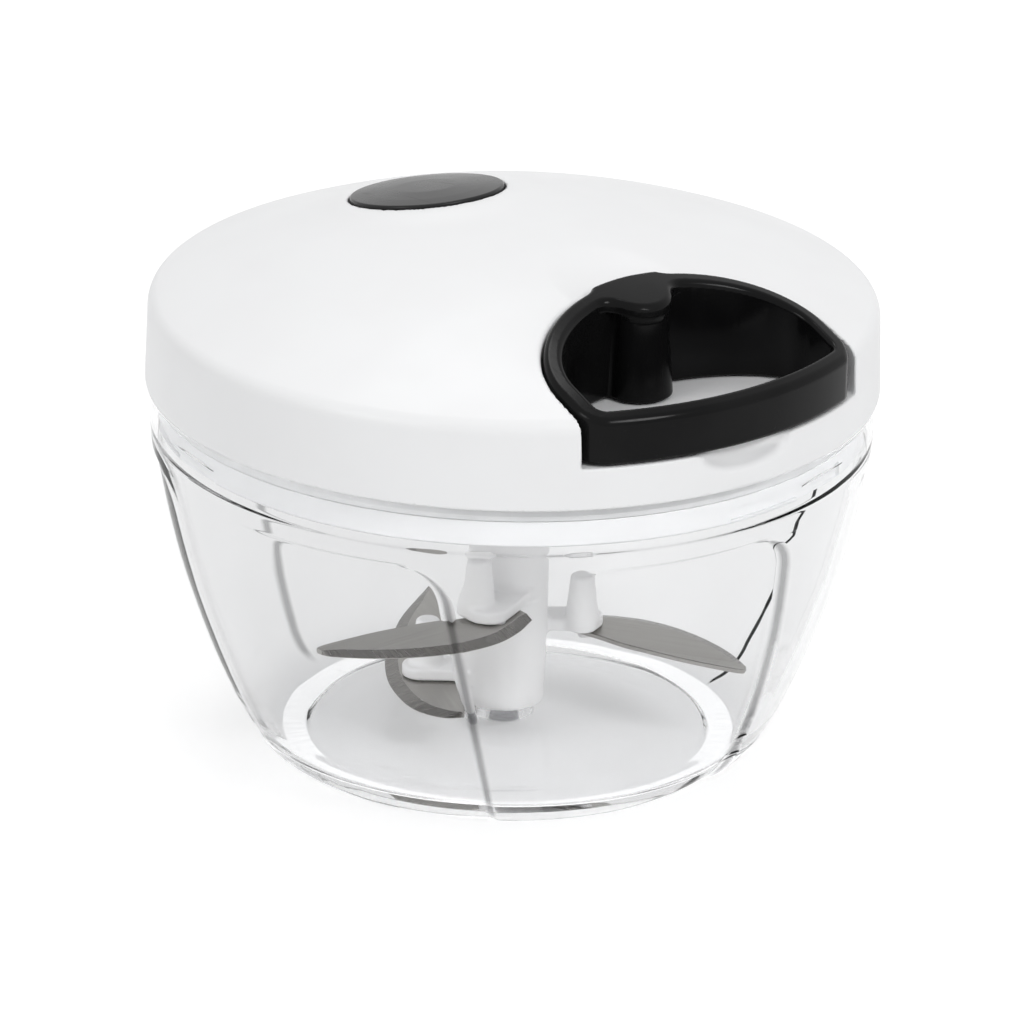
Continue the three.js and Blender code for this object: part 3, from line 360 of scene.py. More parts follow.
# %% One function for the moulded plastics
def moulded_plastic(name, colour, cloud_colour, gloss, grain, depth, clouds=60.0, marks=0.25, **more):
    """gloss is the lowest and highest roughness, grain is per metre, and depth is in metres."""
    material, nodes, shader, _ = new_material(name, **more)
    sizes = {"Grains per metre": grain, "Clouds per metre": clouds}
    skin = nodes.add("ShaderNodeGroup", sizes, node_tree=MOULD_GRAIN)
    used = nodes.add("ShaderNodeGroup", {"Share": marks}, node_tree=USE_MARKS)
    tint = nodes.blend_colours(skin.outputs["Clouds"], colour, cloud_colour)
    rough = nodes.spread(skin.outputs["Clouds"], 0.0, 1.0, *gloss)
    rough = nodes.math("ADD", rough, nodes.math("MULTIPLY", used.outputs["Mask"], 0.2))
    height = nodes.math("SUBTRACT", skin.outputs["Height"], used.outputs["Mask"])
    nodes.surface(shader, tint, rough, height, depth)
    return material


WHITE_SHELL = moulded_plastic(
    "white_shell", (0.875, 0.88, 0.888), (0.865, 0.868, 0.876), (0.4, 0.47), 2600.0, 6e-6,
)
WHITE_SPINDLE = moulded_plastic(
    "white_spindle", (0.9, 0.898, 0.9), (0.885, 0.882, 0.885), (0.34, 0.44), 1800.0, 8e-6,
)
BLACK_HANDLE = moulded_plastic(
    "black_handle", (0.004, 0.004, 0.0042), (0.006, 0.006, 0.0062), (0.13, 0.2), 900.0, 5e-6,
    clouds=90.0, marks=0.35, Specular_IOR_Level=0.1,
)
BLACK_DISC = moulded_plastic(
    "black_disc", (0.012, 0.012, 0.0125), (0.016, 0.016, 0.0165), (0.24, 0.3), 2200.0, 6e-6,
    Specular_IOR_Level=0.2,
)
NATURAL_PLASTIC = moulded_plastic(
    "natural_plastic", (0.72, 0.7, 0.65), (0.67, 0.645, 0.59), (0.38, 0.5), 1500.0, 1e-5,
    clouds=140.0,
)
SEAL_RUBBER = moulded_plastic(
    "seal_rubber", (0.84, 0.845, 0.85), (0.79, 0.795, 0.8), (0.55, 0.68), 3200.0, 1.4e-5,
    clouds=200.0,
)
print("plastics:", ", ".join(m.name for m in (WHITE_SHELL, WHITE_SPINDLE, BLACK_HANDLE, BLACK_DISC)))

# %% [markdown]
# ## Clear plastic
# The bowl is clear and about 2 mm thick. A half-transparent surface would show what is behind it
# but would bend no light, and then the ribs could not be seen. So it is a real refracting solid.
# Lamps would cast a black shadow through it, because their light can't be followed through two
# curved walls in a short render, so for shadow rays alone the wall is a pale transparent surface.
# Inside the wall the light fades a little with each millimetre. That makes the rim, the foot and
# the ribs greyer than the plain wall, as thick clear plastic is. The steep faces of the ribs are
# darker by painted shade: a mask that is stored on the mesh tints them. The index of refraction is
# lower than that of a real clear plastic: at 1.5 the steps of the ribs show as hard black strips.


# %% A refracting wall that lets the lamps through
WALL_FADE = 8.0
WALL_IOR = 1.1
WALL_TINTS = ((0.895, 0.897, 0.9), (0.872, 0.874, 0.877))
# Colour of the painted shade on the steps of the ribs
STEP_PAINTED_SHADE = (0.24, 0.241, 0.244)
FADE_COLOUR = (0.5, 0.51, 0.52, 1)
SHADOW_TINT = (0.93, 0.93, 0.935, 1)


def clear_plastic():
    material, nodes, shader, out = new_material("clear_plastic", Transmission_Weight=1.0, IOR=WALL_IOR)
    sizes = {"Grains per metre": 40.0, "Clouds per metre": 30.0}
    skin = nodes.add("ShaderNodeGroup", sizes, node_tree=MOULD_GRAIN)
    used = nodes.add("ShaderNodeGroup", {"Share": 0.12}, node_tree=USE_MARKS)
    tint = nodes.blend_colours(skin.outputs["Clouds"], *WALL_TINTS)
    step = nodes.add("ShaderNodeAttribute", attribute_name="step_painted_shade").outputs["Fac"]
    # Painted shade: the mask on the mesh darkens the steps of the ribs
    tint = nodes.blend_colours(step, tint, STEP_PAINTED_SHADE)
    rough = nodes.math("ADD", nodes.math("MULTIPLY", used.outputs["Mask"], 0.3), 0.015)
    nodes.surface(shader, tint, rough, skin.outputs["Height"], 2.5e-5)
    fading = nodes.add("ShaderNodeVolumeAbsorption", {"Color": FADE_COLOUR, "Density": WALL_FADE})
    through = nodes.add("ShaderNodeBsdfTransparent", {"Color": SHADOW_TINT})
    shadow = nodes.add("ShaderNodeLightPath").outputs["Is Shadow Ray"]
    ways = {0: shadow, 1: shader.outputs[0], 2: through.outputs[0]}
    mixed = nodes.add("ShaderNodeMixShader", ways)
    nodes.feed(out, {"Volume": fading.outputs[0], "Surface": mixed.outputs[0]})
    return material


CLEAR_PLASTIC = clear_plastic()
print("made", CLEAR_PLASTIC.name)

# %% [markdown]
# ## Metals and cord
# The blades are brushed along their length, the screws and pins are turned, and the spring is blued
# strip. On metal the colour is the colour of its reflections, so the tone comes from Base Color and
# the brushing from a fine groove pattern in the bump. The cord is braided nylon, whose strands
# cross in two directions.


# %% One function for the metals
def ground_metal(name, colour, dark_colour, gloss, along, across, turned=0.0, depth=1.2e-6):
    material, nodes, shader, _ = new_material(name, Metallic=1.0)
    sizes = {"Along": along, "Across": across, "Turned": turned}
    lines = nodes.add("ShaderNodeGroup", sizes, node_tree=METAL_LINES)
    used = nodes.add("ShaderNodeGroup", node_tree=USE_MARKS)
    tint = nodes.blend_colours(lines.outputs["Streaks"], colour, dark_colour)
    rough = nodes.spread(lines.outputs["Streaks"], 0.0, 1.0, *gloss)
    rough = nodes.math("ADD", rough, nodes.math("MULTIPLY", used.outputs["Mask"], 0.15))
    nodes.surface(shader, tint, rough, lines.outputs["Height"], depth)
    return material


BLADE_FACE = ground_metal(
    "blade_face", (0.44, 0.43, 0.412), (0.39, 0.38, 0.362), (0.3, 0.42), 40.0, 5200.0,
)
BLADE_GROUND = ground_metal(
    "blade_ground", (0.27, 0.26, 0.25), (0.21, 0.205, 0.195), (0.24, 0.34), 3800.0, 90.0,
)
BRIGHT_STEEL = ground_metal(
    "bright_steel", (0.62, 0.62, 0.63), (0.5, 0.5, 0.51), (0.18, 0.3), 60.0, 7000.0, 1.0,
)
SPRING_STEEL = ground_metal(
    "spring_steel", (0.2, 0.22, 0.26), (0.12, 0.13, 0.16), (0.26, 0.4), 60.0, 3000.0,
)
print("metals:", ", ".join(m.name for m in (BLADE_FACE, BLADE_GROUND, BRIGHT_STEEL, SPRING_STEEL)))


# %% Braided nylon
def braided_nylon():
    material, nodes, shader, _ = new_material("braided_nylon", Sheen_Weight=0.25, Sheen_Roughness=0.4)
    place = nodes.add("ShaderNodeTexCoord").outputs["Object"]
    waves = []
    for tilt in (0.7, -0.7):
        lean = {"Vector": place, "Angle": tilt}
        turned = nodes.add("ShaderNodeVectorRotate", lean, rotation_type="X_AXIS").outputs[0]
        wave = {"Vector": turned, "Scale": 420.0, "Distortion": 0.6, "Detail": 1.0}
        waves.append(nodes.add("ShaderNodeTexWave", wave, bands_direction="Y").outputs["Fac"])
    strands = nodes.math("MAXIMUM", *waves)
    fuzz = nodes.add("ShaderNodeTexNoise", {"Vector": place, "Scale": 9000.0, "Detail": 2.0}).outputs["Fac"]
    # Painted shade: the grooves between the strands are darker than their crests
    tint = nodes.blend_colours(strands, (0.5, 0.49, 0.46), (0.76, 0.75, 0.72))
    height = nodes.math("ADD", strands, nodes.math("MULTIPLY", fuzz, 0.3))
    rough = nodes.spread(fuzz, 0.3, 0.7, 0.7, 0.9)
    nodes.surface(shader, tint, rough, height, 1.2e-4)
    return material


BRAIDED_NYLON = braided_nylon()
print("made", BRAIDED_NYLON.name)

# %% [markdown]
# ## Turned pieces
# Many pieces are round: the disc, the seal, the drum, the axle, the screws. A cylinder would have
# knife-sharp edges that catch no light. So each one is a profile whose corners are rounded first
# and which is then carried round the axis.


# %% Rounded profiles and the mesh that they sweep
def rounded(corners, steps=5):
    """Turns corners, given as (radius, height, rounding), into a smooth outline."""
    outline = []
    for i, corner in enumerate(corners):
        here = np.array(corner[:2], float)
        size = corner[2] if len(corner) > 2 else 0.0
        before = np.array(corners[i - 1][:2], float) - here
        after = np.array(corners[(i + 1) % len(corners)][:2], float) - here
        if not size or not before.any() or not after.any():
            outline.append(tuple(here))
            continue
        lengths = np.linalg.norm(before), np.linalg.norm(after)
        before, after = before / lengths[0], after / lengths[1]
        half = math.acos(float(np.clip(before @ after, -1, 1))) / 2
        reach = min(size / math.tan(half), 0.49 * min(lengths))
        middle = here + (before + after) / np.linalg.norm(before + after) * reach / math.cos(half)
        start, end = here + before * reach - middle, here + after * reach - middle
        sweep = math.atan2(start[0] * end[1] - start[1] * end[0], start @ end)
        for step in range(steps + 1):
            a = sweep * step / steps
            turn = np.array([[math.cos(a), -math.sin(a)], [math.sin(a), math.cos(a)]])
            outline.append(tuple(middle + turn @ start))
    return outline


def swept_rings(rings, closed_profile):
    """Points and faces of rings that lie one after another. A ring of one point closes an end."""
    points, starts = [], []
    for ring in rings:
        starts.append(len(points))
        points.extend(ring)
    faces = []
    pairs = list(zip(range(len(rings)), range(1, len(rings))))
    if closed_profile:
        pairs.append((len(rings) - 1, 0))
    for low, high in pairs:
        n, m = len(rings[low]), len(rings[high])
        for i in range(max(n, m)):
            j = (i + 1) % max(n, m)
            corners = [starts[low] + i % n, starts[low] + j % n, starts[high] + j % m, starts[high] + i % m]
            faces.append([c for k, c in enumerate(corners) if c != corners[k - 1]])
    return points, faces


def new_mesh(name, points, faces, sharp_degrees=40.0):
    """A shaded mesh from points in millimetres, with its faces turned outwards."""
    mesh = bpy.data.meshes.new(name)
    mesh.from_pydata([tuple(np.array(p) * MM) for p in points], [], faces)
    corners = np.array([mesh.vertices[f.vertices[0]].co for f in mesh.polygons])
    normals = np.array([f.normal for f in mesh.polygons])
    areas = np.array([f.area for f in mesh.polygons])
    if (areas * (corners * normals).sum(1)).sum() < 0:
        mesh.flip_normals()
    mesh.shade_smooth()
    mesh.set_sharp_from_angle(angle=math.radians(sharp_degrees))
    return mesh


def turned_mesh(name, corners, segments=96, steps=5):
    """A round mesh from corners in millimetres. It closes on the axis if both its ends lie there."""
    profile = rounded(corners, steps)
    angles = np.arange(segments) * 2 * math.pi / segments
    rings = []
    for radius, height in profile:
        if radius == 0:
            rings.append([(0.0, 0.0, height)])
        else:
            rings.append([(radius * math.cos(a), radius * math.sin(a), height) for a in angles])
    on_axis = profile[0][0] == 0 and profile[-1][0] == 0
    return new_mesh(name, *swept_rings(rings, not on_axis))


def add_piece(name, mesh, material, body, slot, nodes, even_normals=True, place=(0, 0, 0)):
    """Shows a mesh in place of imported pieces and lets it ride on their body."""
    piece = new_object(name, mesh)
    piece.location = Vector(place) * MM
    mesh.materials.append(material)
    if even_normals:
        piece.modifiers.new("even_normals", "WEIGHTED_NORMAL").keep_sharp = True
    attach(piece, body)
    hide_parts(*nodes)
    return piece


def cut_mesh(mesh, tools, sharp_degrees=40.0):
    """The mesh without the space that the tools take up. The tools are closed meshes too."""
    things = [new_object("holder", thing) for thing in (mesh, *tools)]
    for tool in things[1:]:
        change = things[0].modifiers.new("cut", "BOOLEAN")
        change.object, change.operation, change.solver = tool, "DIFFERENCE", "EXACT"
    evaluated = things[0].evaluated_get(bpy.context.evaluated_depsgraph_get())
    result = bpy.data.meshes.new_from_object(evaluated)
    name = mesh.name
    for thing in things:
        used = thing.data
        bpy.data.objects.remove(thing)
        bpy.data.meshes.remove(used)
    result.name = name
    result.set_sharp_from_angle(angle=math.radians(sharp_degrees))
    return result


def drill_mesh(x, y, radius, low, high):
    """A round tool for a hole along Z."""
    mesh = turned_mesh("drill", [(0, low), (radius, low), (radius, high), (0, high)], 40)
    mesh.transform(Matrix.Translation((x * MM, y * MM, 0)))
    return mesh


print("the turning helpers are ready")

# %% [markdown]
# ## Shapes from a distance rule
# The lid, the handle and the spindle are moulded in one piece, and every edge and every joint
# between their forms is rounded. Cutting and joining meshes leaves sharp edges that are hard to
# round afterwards. Here such a piece is written as a rule instead: a formula that gives the
# distance from any point to the surface, below zero inside. Two forms are joined by taking the
# smaller distance, and a rounded version of that rule gives a real fillet.


# %% Rules that join, meet and cut with a rounded edge
def round_join(a, b, radius):
    """Both forms together, with a hollow fillet where they touch."""
    reach = np.maximum(radius - a, 0) ** 2 + np.maximum(radius - b, 0) ** 2
    return np.maximum(radius, np.minimum(a, b)) - np.sqrt(reach)


def round_meet(a, b, radius):
    """Where both forms are, with the edge between them rounded."""
    reach = np.maximum(radius + a, 0) ** 2 + np.maximum(radius + b, 0) ** 2
    return np.minimum(-radius, np.maximum(a, b)) + np.sqrt(reach)


def round_edge(a, b, radius, lean):
    """Where both forms are, truly rounded. lean is the cosine between their outward sides."""
    p, q = a + radius, b + radius
    corner = np.sqrt(np.maximum(p**2 + q**2 - 2 * lean * p * q, 0) / (1 - lean**2))
    return np.where((p > lean * q) & (q > lean * p), corner, np.maximum(p, q)) - radius


def round_cut(a, b, radius):
    """The first form without the second, with a rounded edge."""
    return round_meet(a, -b, radius)


def soft_join(a, b, reach):
    """Both forms together, run into each other over a wide, shallow transition."""
    share = np.maximum(reach - np.abs(a - b), 0) / reach
    return np.minimum(a, b) - share**2 * reach / 4


def soft_meet(a, b, reach):
    return -soft_join(-a, -b, reach)


def half_oval(x, y, half_width, depth, centre):
    """In plan: an oval on the far side of its centre line, and straight sides on the near side."""
    beyond = np.maximum(y - centre, 0)
    size = np.maximum(np.hypot(x / half_width, beyond / depth), 0.05)
    slope = np.hypot(x / half_width**2, beyond / depth**2) / size
    return (size - 1) / np.maximum(slope, 0.5 / np.maximum(half_width, depth))


def egg(x, y, z, sizes):
    """Distance to an egg about the origin, near its surface."""
    a, b, c = sizes
    size = np.sqrt((x / a) ** 2 + (y / b) ** 2 + (z / c) ** 2)
    slope = np.sqrt((x / a**2) ** 2 + (y / b**2) ** 2 + (z / c**2) ** 2)
    return size * (size - 1) / np.maximum(slope, 1e-4)


def nearest_third(x, y, middle):
    """Angle to the nearest of three directions that are a third of a turn apart."""
    third = 2 * math.pi / 3
    return np.abs((np.arctan2(x, -y) - middle + third / 2) % third - third / 2)


print("the rules are ready")


# %% From a rule to a mesh
def net_of(rule, low, high, step):
    """Puts a corner in each small cube that the surface passes through, and joins them with faces."""
    axes = [np.arange(a - 2 * step, b + 3 * step, step) for a, b in zip(low, high)]
    start = np.array([axis[0] for axis in axes])
    grid = np.meshgrid(*axes, indexing="ij")
    shape = grid[0].shape
    values = rule(*[g.ravel() for g in grid]).reshape(shape)
    inside = values < 0
    counts = np.zeros([n - 1 for n in shape], np.int8)
    for i in (0, 1):
        for j in (0, 1):
            for k in (0, 1):
                counts += inside[i : shape[0] - 1 + i, j : shape[1] - 1 + j, k : shape[2] - 1 + k]
    cubes = np.argwhere((counts > 0) & (counts < 8))
    number = np.full(counts.shape, -1)
    number[tuple(cubes.T)] = np.arange(len(cubes))
    total, hits = np.zeros((len(cubes), 3)), np.zeros(len(cubes))
    faces = []
    units = np.eye(3, dtype=int)
    for axis in range(3):
        side, far = units[(axis + 1) % 3], units[(axis + 2) % 3]
        for offset in (0 * side, side, far, side + far):
            a = cubes + offset
            b = a + units[axis]
            at_a, at_b = values[tuple(a.T)], values[tuple(b.T)]
            crossed = (at_a < 0) != (at_b < 0)
            share = np.where(crossed, at_a / np.where(crossed, at_a - at_b, 1), 0)
            total += (a + share[:, None] * units[axis]) * crossed[:, None]
            hits += crossed
        first = np.take(inside, range(shape[axis] - 1), axis)
        second = np.take(inside, range(1, shape[axis]), axis)
        edges = np.argwhere(first != second)
        quads = np.stack([number[tuple((edges - o).T)] for o in (0 * side, side, side + far, far)], -1)
        leaving = first[tuple(edges.T)]
        quads[~leaving] = quads[~leaving][:, ::-1]
        faces.append(quads)
    return start + step * total / hits[:, None], np.concatenate(faces)


def slope_of(rule, points, reach):
    """The direction in which the distance grows fastest, at each point."""
    sides = [rule(*(points + reach * e).T) - rule(*(points - reach * e).T) for e in np.eye(3)]
    return np.stack(sides, -1) / (2 * reach)


def settled(rule, points, step, rounds=5):
    """Moves points onto the surface of the rule."""
    for _ in range(rounds):
        slope = slope_of(rule, points, 0.02 * step)
        size = np.maximum((slope**2).sum(1), 0.05)
        move = rule(*points.T)[:, None] * slope / size[:, None]
        length = np.linalg.norm(move, axis=1, keepdims=True)
        points = points - move * np.minimum(1, 0.4 * step / np.maximum(length, 1e-9))
    return points


def thinned(mesh, share):
    """The same mesh with fewer faces, of which the most stay where the surface bends."""
    holder = new_object("holder", mesh)
    holder.modifiers.new("thin", "DECIMATE").ratio = share
    evaluated = holder.evaluated_get(bpy.context.evaluated_depsgraph_get())
    result = bpy.data.meshes.new_from_object(evaluated)
    bpy.data.objects.remove(holder)
    return result


def ruled_mesh(name, rule, low, high, step, share):
    """A fine mesh of a rule, in millimetres, whose shading comes from the rule itself."""
    points, faces = net_of(rule, low, high, step)
    points = settled(rule, points, step)
    mesh = bpy.data.meshes.new(name)
    mesh.from_pydata(points * MM, [], faces.tolist())
    mesh = thinned(mesh, share)
    mesh.name = name
    points = np.array([v.co for v in mesh.vertices]) / MM
    points = settled(rule, points, step)
    normals = slope_of(rule, points, 0.05 * step)
    normals /= np.maximum(np.linalg.norm(normals, axis=1, keepdims=True), 1e-9)
    mesh.vertices.foreach_set("co", (points * MM).astype(np.float32).ravel())
    mesh.shade_smooth()
    mesh.normals_split_custom_set_from_vertices(normals)
    print(name, "has", len(mesh.polygons), "faces")
    return mesh


# %% [markdown]
# ## Lid cover
# The cover is one white moulding: a shallow dome on a short wall, with a notch for the handle, a
# dish for the thumb, a scoop under the grip and a low plateau for the disc. In the photograph its
# edges are soft, and the lip of the notch fades into a grey shade. So it is made by a rule, in
# which each of these forms is one line.

# %% Sizes of the cover
COVER_LOW, COVER_HIGH = box_mm("lid_cover")
COVER_EDGE = COVER_LOW[2]
COVER_RADIUS = COVER_HIGH[0]
COVER_DRAFT = 0.6
COVER_SHOULDER = 2.9
SHOULDER_LEAN = 0.43
DOME_RADIUS = 152.6
DOME_APEX = COVER_EDGE + 28.0
DOME_CENTRE = DOME_APEX - DOME_RADIUS
WALL = 2.2
CEILING = 2.4
HANDLE_LOW, HANDLE_HIGH = box_mm("handle")
HANDLE_HALF_WIDTH = HANDLE_HIGH[0]
HANDLE_BACK = HANDLE_HIGH[1]
HANDLE_ARC_DEPTH = 19.0
HANDLE_ARC_CENTRE = HANDLE_BACK - HANDLE_ARC_DEPTH
HANDLE_GRIP_RADIUS = -HANDLE_LOW[1]
NOTCH_GAP = 0.4
NOTCH_FLARE = 0.5
NOTCH_WALL = 2.2
NOTCH_FLOOR = HANDLE_LOW[2] - 0.3
NOTCH_BACK = HANDLE_BACK + NOTCH_GAP
CORD_LEVEL = sum(box_mm("cord_lead")[i][2] for i in (0, 1)) / 2
DISC_DISTANCE = 24.4
DISC_PLACE = math.asin(DISC_DISTANCE / DOME_RADIUS)
DISC_TILT = DISC_PLACE + math.radians(1.0)
DISC_RADIUS = 13.3
PLATEAU_RADIUS = 15.0
PLATEAU_FOOT = 19.6
PLATEAU_DROP = 1.6
PLATEAU_LIFT = 0.1
DISC_SEAT = 1.5
THUMB_DISH = (11.0, 15.0, 1.3)
SCOOP = (9.5, 3.6, 3.0)
SCOOP_HEIGHT = NOTCH_FLOOR - 0.4
SCOOP_WALL = 1.2
ARBOR_RADIUS, ARBOR_BOTTOM = 5.6, 76.4
ARBOR_BORE, ARBOR_BORE_TOP = 3.1, 89.7
BOSS_RADIUS, BOSS_BOTTOM = 3.2, 67.0
BOSS_BORE, BOSS_BORE_TOP = 1.5, 74.2
CORD_HOLE = 2.7
print("the cover is", round(2 * COVER_RADIUS, 1), "mm across and", round(DOME_APEX, 1), "mm high")


# %% The rule of the cover
def on_plateau(y, z):
    """Heights and places as seen from the plateau, which leans back with the dome."""
    reach = DOME_RADIUS + PLATEAU_LIFT
    v, w = y - reach * math.sin(DISC_PLACE), z - DOME_CENTRE - reach * math.cos(DISC_PLACE)
    c, s = math.cos(DISC_TILT), math.sin(DISC_TILT)
    return v * c - w * s, v * s + w * c


def notch_rule(x, y, z, grow):
    side = half_oval(x, y, HANDLE_HALF_WIDTH + grow, HANDLE_ARC_DEPTH + grow, HANDLE_ARC_CENTRE)
    return side - NOTCH_FLARE * np.clip((-y - 44.0) / 12.0, 0, 1), NOTCH_FLOOR - z


def cover_rule(x, y, z):
    r = np.hypot(x, y)
    dome = np.sqrt(r**2 + (z - DOME_CENTRE) ** 2) - DOME_RADIUS
    wall = r - COVER_RADIUS + COVER_DRAFT * np.clip((z - COVER_EDGE) / 18.0, 0, 1)
    v, w = on_plateau(y, z)
    rho = np.hypot(x, v)
    slope = math.atan2(PLATEAU_DROP, PLATEAU_FOOT - PLATEAU_RADIUS)
    cone = (rho - PLATEAU_RADIUS) * math.sin(slope) + w * math.cos(slope)
    plateau = np.maximum(soft_meet(w, cone, 0.7), -6.0 - w)
    outside = round_edge(soft_join(dome, plateau, 0.45), wall, COVER_SHOULDER, SHOULDER_LEAN)
    tilt = math.asin(-NOTCH_BACK / DOME_RADIUS)
    b, c = y - NOTCH_BACK, z - DOME_CENTRE - math.sqrt(DOME_RADIUS**2 - NOTCH_BACK**2)
    dish_y = b * math.cos(tilt) + c * math.sin(tilt)
    dish_z = c * math.cos(tilt) - b * math.sin(tilt)
    dish = egg(x, dish_y, dish_z, THUMB_DISH)
    outside = soft_meet(outside, -dish, 0.5)
    hollow = round_edge(dome + CEILING, wall + WALL, COVER_SHOULDER - 1.1, SHOULDER_LEAN)
    side, floor = notch_rule(x, y, z, NOTCH_GAP)
    hull = np.maximum(side - NOTCH_WALL, floor - NOTCH_WALL)
    scoop = egg(x, y + COVER_RADIUS, z - SCOOP_HEIGHT, SCOOP)
    scoop_hull = egg(x, y + COVER_RADIUS, z - SCOOP_HEIGHT, [s + SCOOP_WALL for s in SCOOP])
    hollow = round_cut(hollow, np.minimum(hull, scoop_hull), 0.5)
    shell = round_cut(outside, hollow, 0.3)
    shell = round_meet(shell, COVER_EDGE - z, 0.35)
    arbor = np.maximum(r - ARBOR_RADIUS, ARBOR_BOTTOM - z)
    shell = round_join(shell, np.maximum(arbor, dome + 1), 0.8)
    for bx, by in LID_SCREWS:
        away = np.hypot(x - bx, y - by)
        boss = np.maximum(away - BOSS_RADIUS, np.maximum(BOSS_BOTTOM - z, dome + 1))
        shell = round_join(shell, boss, 0.5)
        shell = np.maximum(shell, -np.maximum(away - BOSS_BORE, z - BOSS_BORE_TOP))
    shell = np.maximum(shell, -np.maximum(r - ARBOR_BORE, z - ARBOR_BORE_TOP))
    lip = 0.3 + 0.9 * np.clip((z - 84.0) / 6.0, 0, 1)
    shell = round_cut(shell, round_meet(side, floor, 0.4), lip)
    shell = round_cut(shell, scoop, 1.2)
    seat = np.maximum(rho - DISC_RADIUS - 0.3, -DISC_SEAT - w)
    shell = round_cut(shell, seat, 0.3)
    drill = np.maximum(np.hypot(x, z - CORD_LEVEL) - CORD_HOLE, np.abs(y - NOTCH_BACK) - 4.0)
    return np.maximum(shell, -drill)


LID_SCREWS = [sum(box_mm(f"lid_screw_{i}"))[:2] / 2 for i in (1, 2, 3, 4)]
cover_mesh = ruled_mesh("white_cover", cover_rule, COVER_LOW, COVER_HIGH, 0.5, 0.16)
cover_place = ("lid", "white_plastic", ["lid_cover"])
add_piece("white_cover", cover_mesh, WHITE_SHELL, *cover_place, even_normals=False)

# %% [markdown]
# ## Pull handle
# The handle is a black D: a ring with an even wall, and inside it a short tongue on a round post,
# through which the cord comes. The ring could be a bevelled curve, but the tongue has to flow into
# it, so it is a rule too. Its top follows the dome.

# %% The rule of the handle
GRIP_WALL = 3.3
GRIP_FRONT = 2.8
HANDLE_BOTTOM = HANDLE_LOW[2]
HANDLE_TOP_SPHERE = 142.7
HANDLE_TOP_CENTRE = DOME_APEX + 1.5 - HANDLE_TOP_SPHERE
TONGUE_CENTRE = HANDLE_BACK - 5.0
TONGUE_SIZE = (5.2, 4.0)
TONGUE_THICKNESS = 2.6
POST_SIZE = (4.6, 3.6)
POST_SPREAD = (1.0, 1.6)
KNOT_CENTRE = sum(box_mm("cord_knot")[i][1] for i in (0, 1)) / 2
KNOT_POCKET = 2.6
CORD_BORE = 1.25


def handle_rule(x, y, z):
    r = np.hypot(x, y)
    outer = half_oval(x, y, HANDLE_HALF_WIDTH, HANDLE_ARC_DEPTH, HANDLE_ARC_CENTRE)
    outer = round_meet(outer, r - HANDLE_GRIP_RADIUS, 3.4)
    inner_size = (HANDLE_HALF_WIDTH - GRIP_WALL, HANDLE_ARC_DEPTH - GRIP_WALL)
    inner = half_oval(x, y, *inner_size, HANDLE_ARC_CENTRE)
    inner = round_meet(inner, r - HANDLE_GRIP_RADIUS + GRIP_FRONT, 1.0)
    ring_plan = np.maximum(outer, -inner)
    tongue_plan = np.maximum(half_oval(x, -y, *TONGUE_SIZE, -TONGUE_CENTRE), outer + 1)
    lower = np.clip((88.0 - z) / 15.4, 0, 1)
    half_width, depth = (size + more * lower for size, more in zip(POST_SIZE, POST_SPREAD))
    post_plan = np.maximum(half_oval(x, -y, half_width, depth, -TONGUE_CENTRE), outer + 1)
    top = np.sqrt(r**2 + (z - HANDLE_TOP_CENTRE) ** 2) - HANDLE_TOP_SPHERE
    under = -top - TONGUE_THICKNESS
    bottom = HANDLE_BOTTOM - z
    ring = round_meet(round_meet(ring_plan, top, 1.2), bottom, 0.7)
    tongue = round_meet(round_join(ring_plan, tongue_plan, 4.0), top, 1.0)
    tongue = round_meet(tongue, under, 0.9)
    post = round_meet(np.maximum(post_plan, top + 1), bottom, 0.5)
    whole = round_join(np.minimum(ring, tongue), post, 0.8)
    hole = np.maximum(np.hypot(x, z - CORD_LEVEL) - CORD_BORE, KNOT_CENTRE - y)
    pocket = np.hypot(x, y - KNOT_CENTRE) - KNOT_POCKET
    pocket = np.maximum(pocket, z - CORD_LEVEL - KNOT_POCKET)
    return round_cut(whole, np.minimum(hole, pocket), 0.2)


handle_mesh = ruled_mesh("pull_handle", handle_rule, HANDLE_LOW, HANDLE_HIGH, 0.34, 0.3)
handle_place = ("handle", "black_gloss", ["handle"])
add_piece("pull_handle", handle_mesh, BLACK_HANDLE, *handle_place, even_normals=False)

# %% [markdown]
# ## Spindle
# The blades are carried by a white spindle with three short arms. A tapered peg stands on each arm,
# and a headed stub under it holds the blade. All of it is one moulding, so it is one rule, in which
# each arm is drawn in the frame of its own blade.

# %% Blades and their arms: heading, level and shape
SICKLE = {"reach": 42.4, "arm": (0.26, 0.2), "peg": (0.27, 0.14), "stub": (0.25, 0.24)}
CRESCENT = {"reach": 41.0, "arm": (0.09, 0.36), "peg": (0.09, 0.33), "stub": (0.09, 0.38)}
BLADE_THICKNESS = 0.8
BLADES = {
    "blade_upper": {"heading": -89.2, "form": SICKLE},
    "blade_middle": {"heading": 30.8, "form": SICKLE},
    "blade_lower": {"heading": 158.8, "form": CRESCENT},
}
SPINDLE_LOW, SPINDLE_HIGH = box_mm("spindle")
SPINDLE_RADIUS = 6.9
SHOULDER = 60.1
ARM_THICKNESS = 2.2
ARM_HALF_WIDTH = 3.2
ARM_ROOT = 3.4
PEG_HEIGHT = 8.2
PEG_RADIUS = 2.9
PEG_TAPER = 0.9
STUB_RADIUS = 1.3
STUB_HEAD_RADIUS = 2.0
FIN_HALF_DEGREES = 12
FIN_BOTTOM = 58


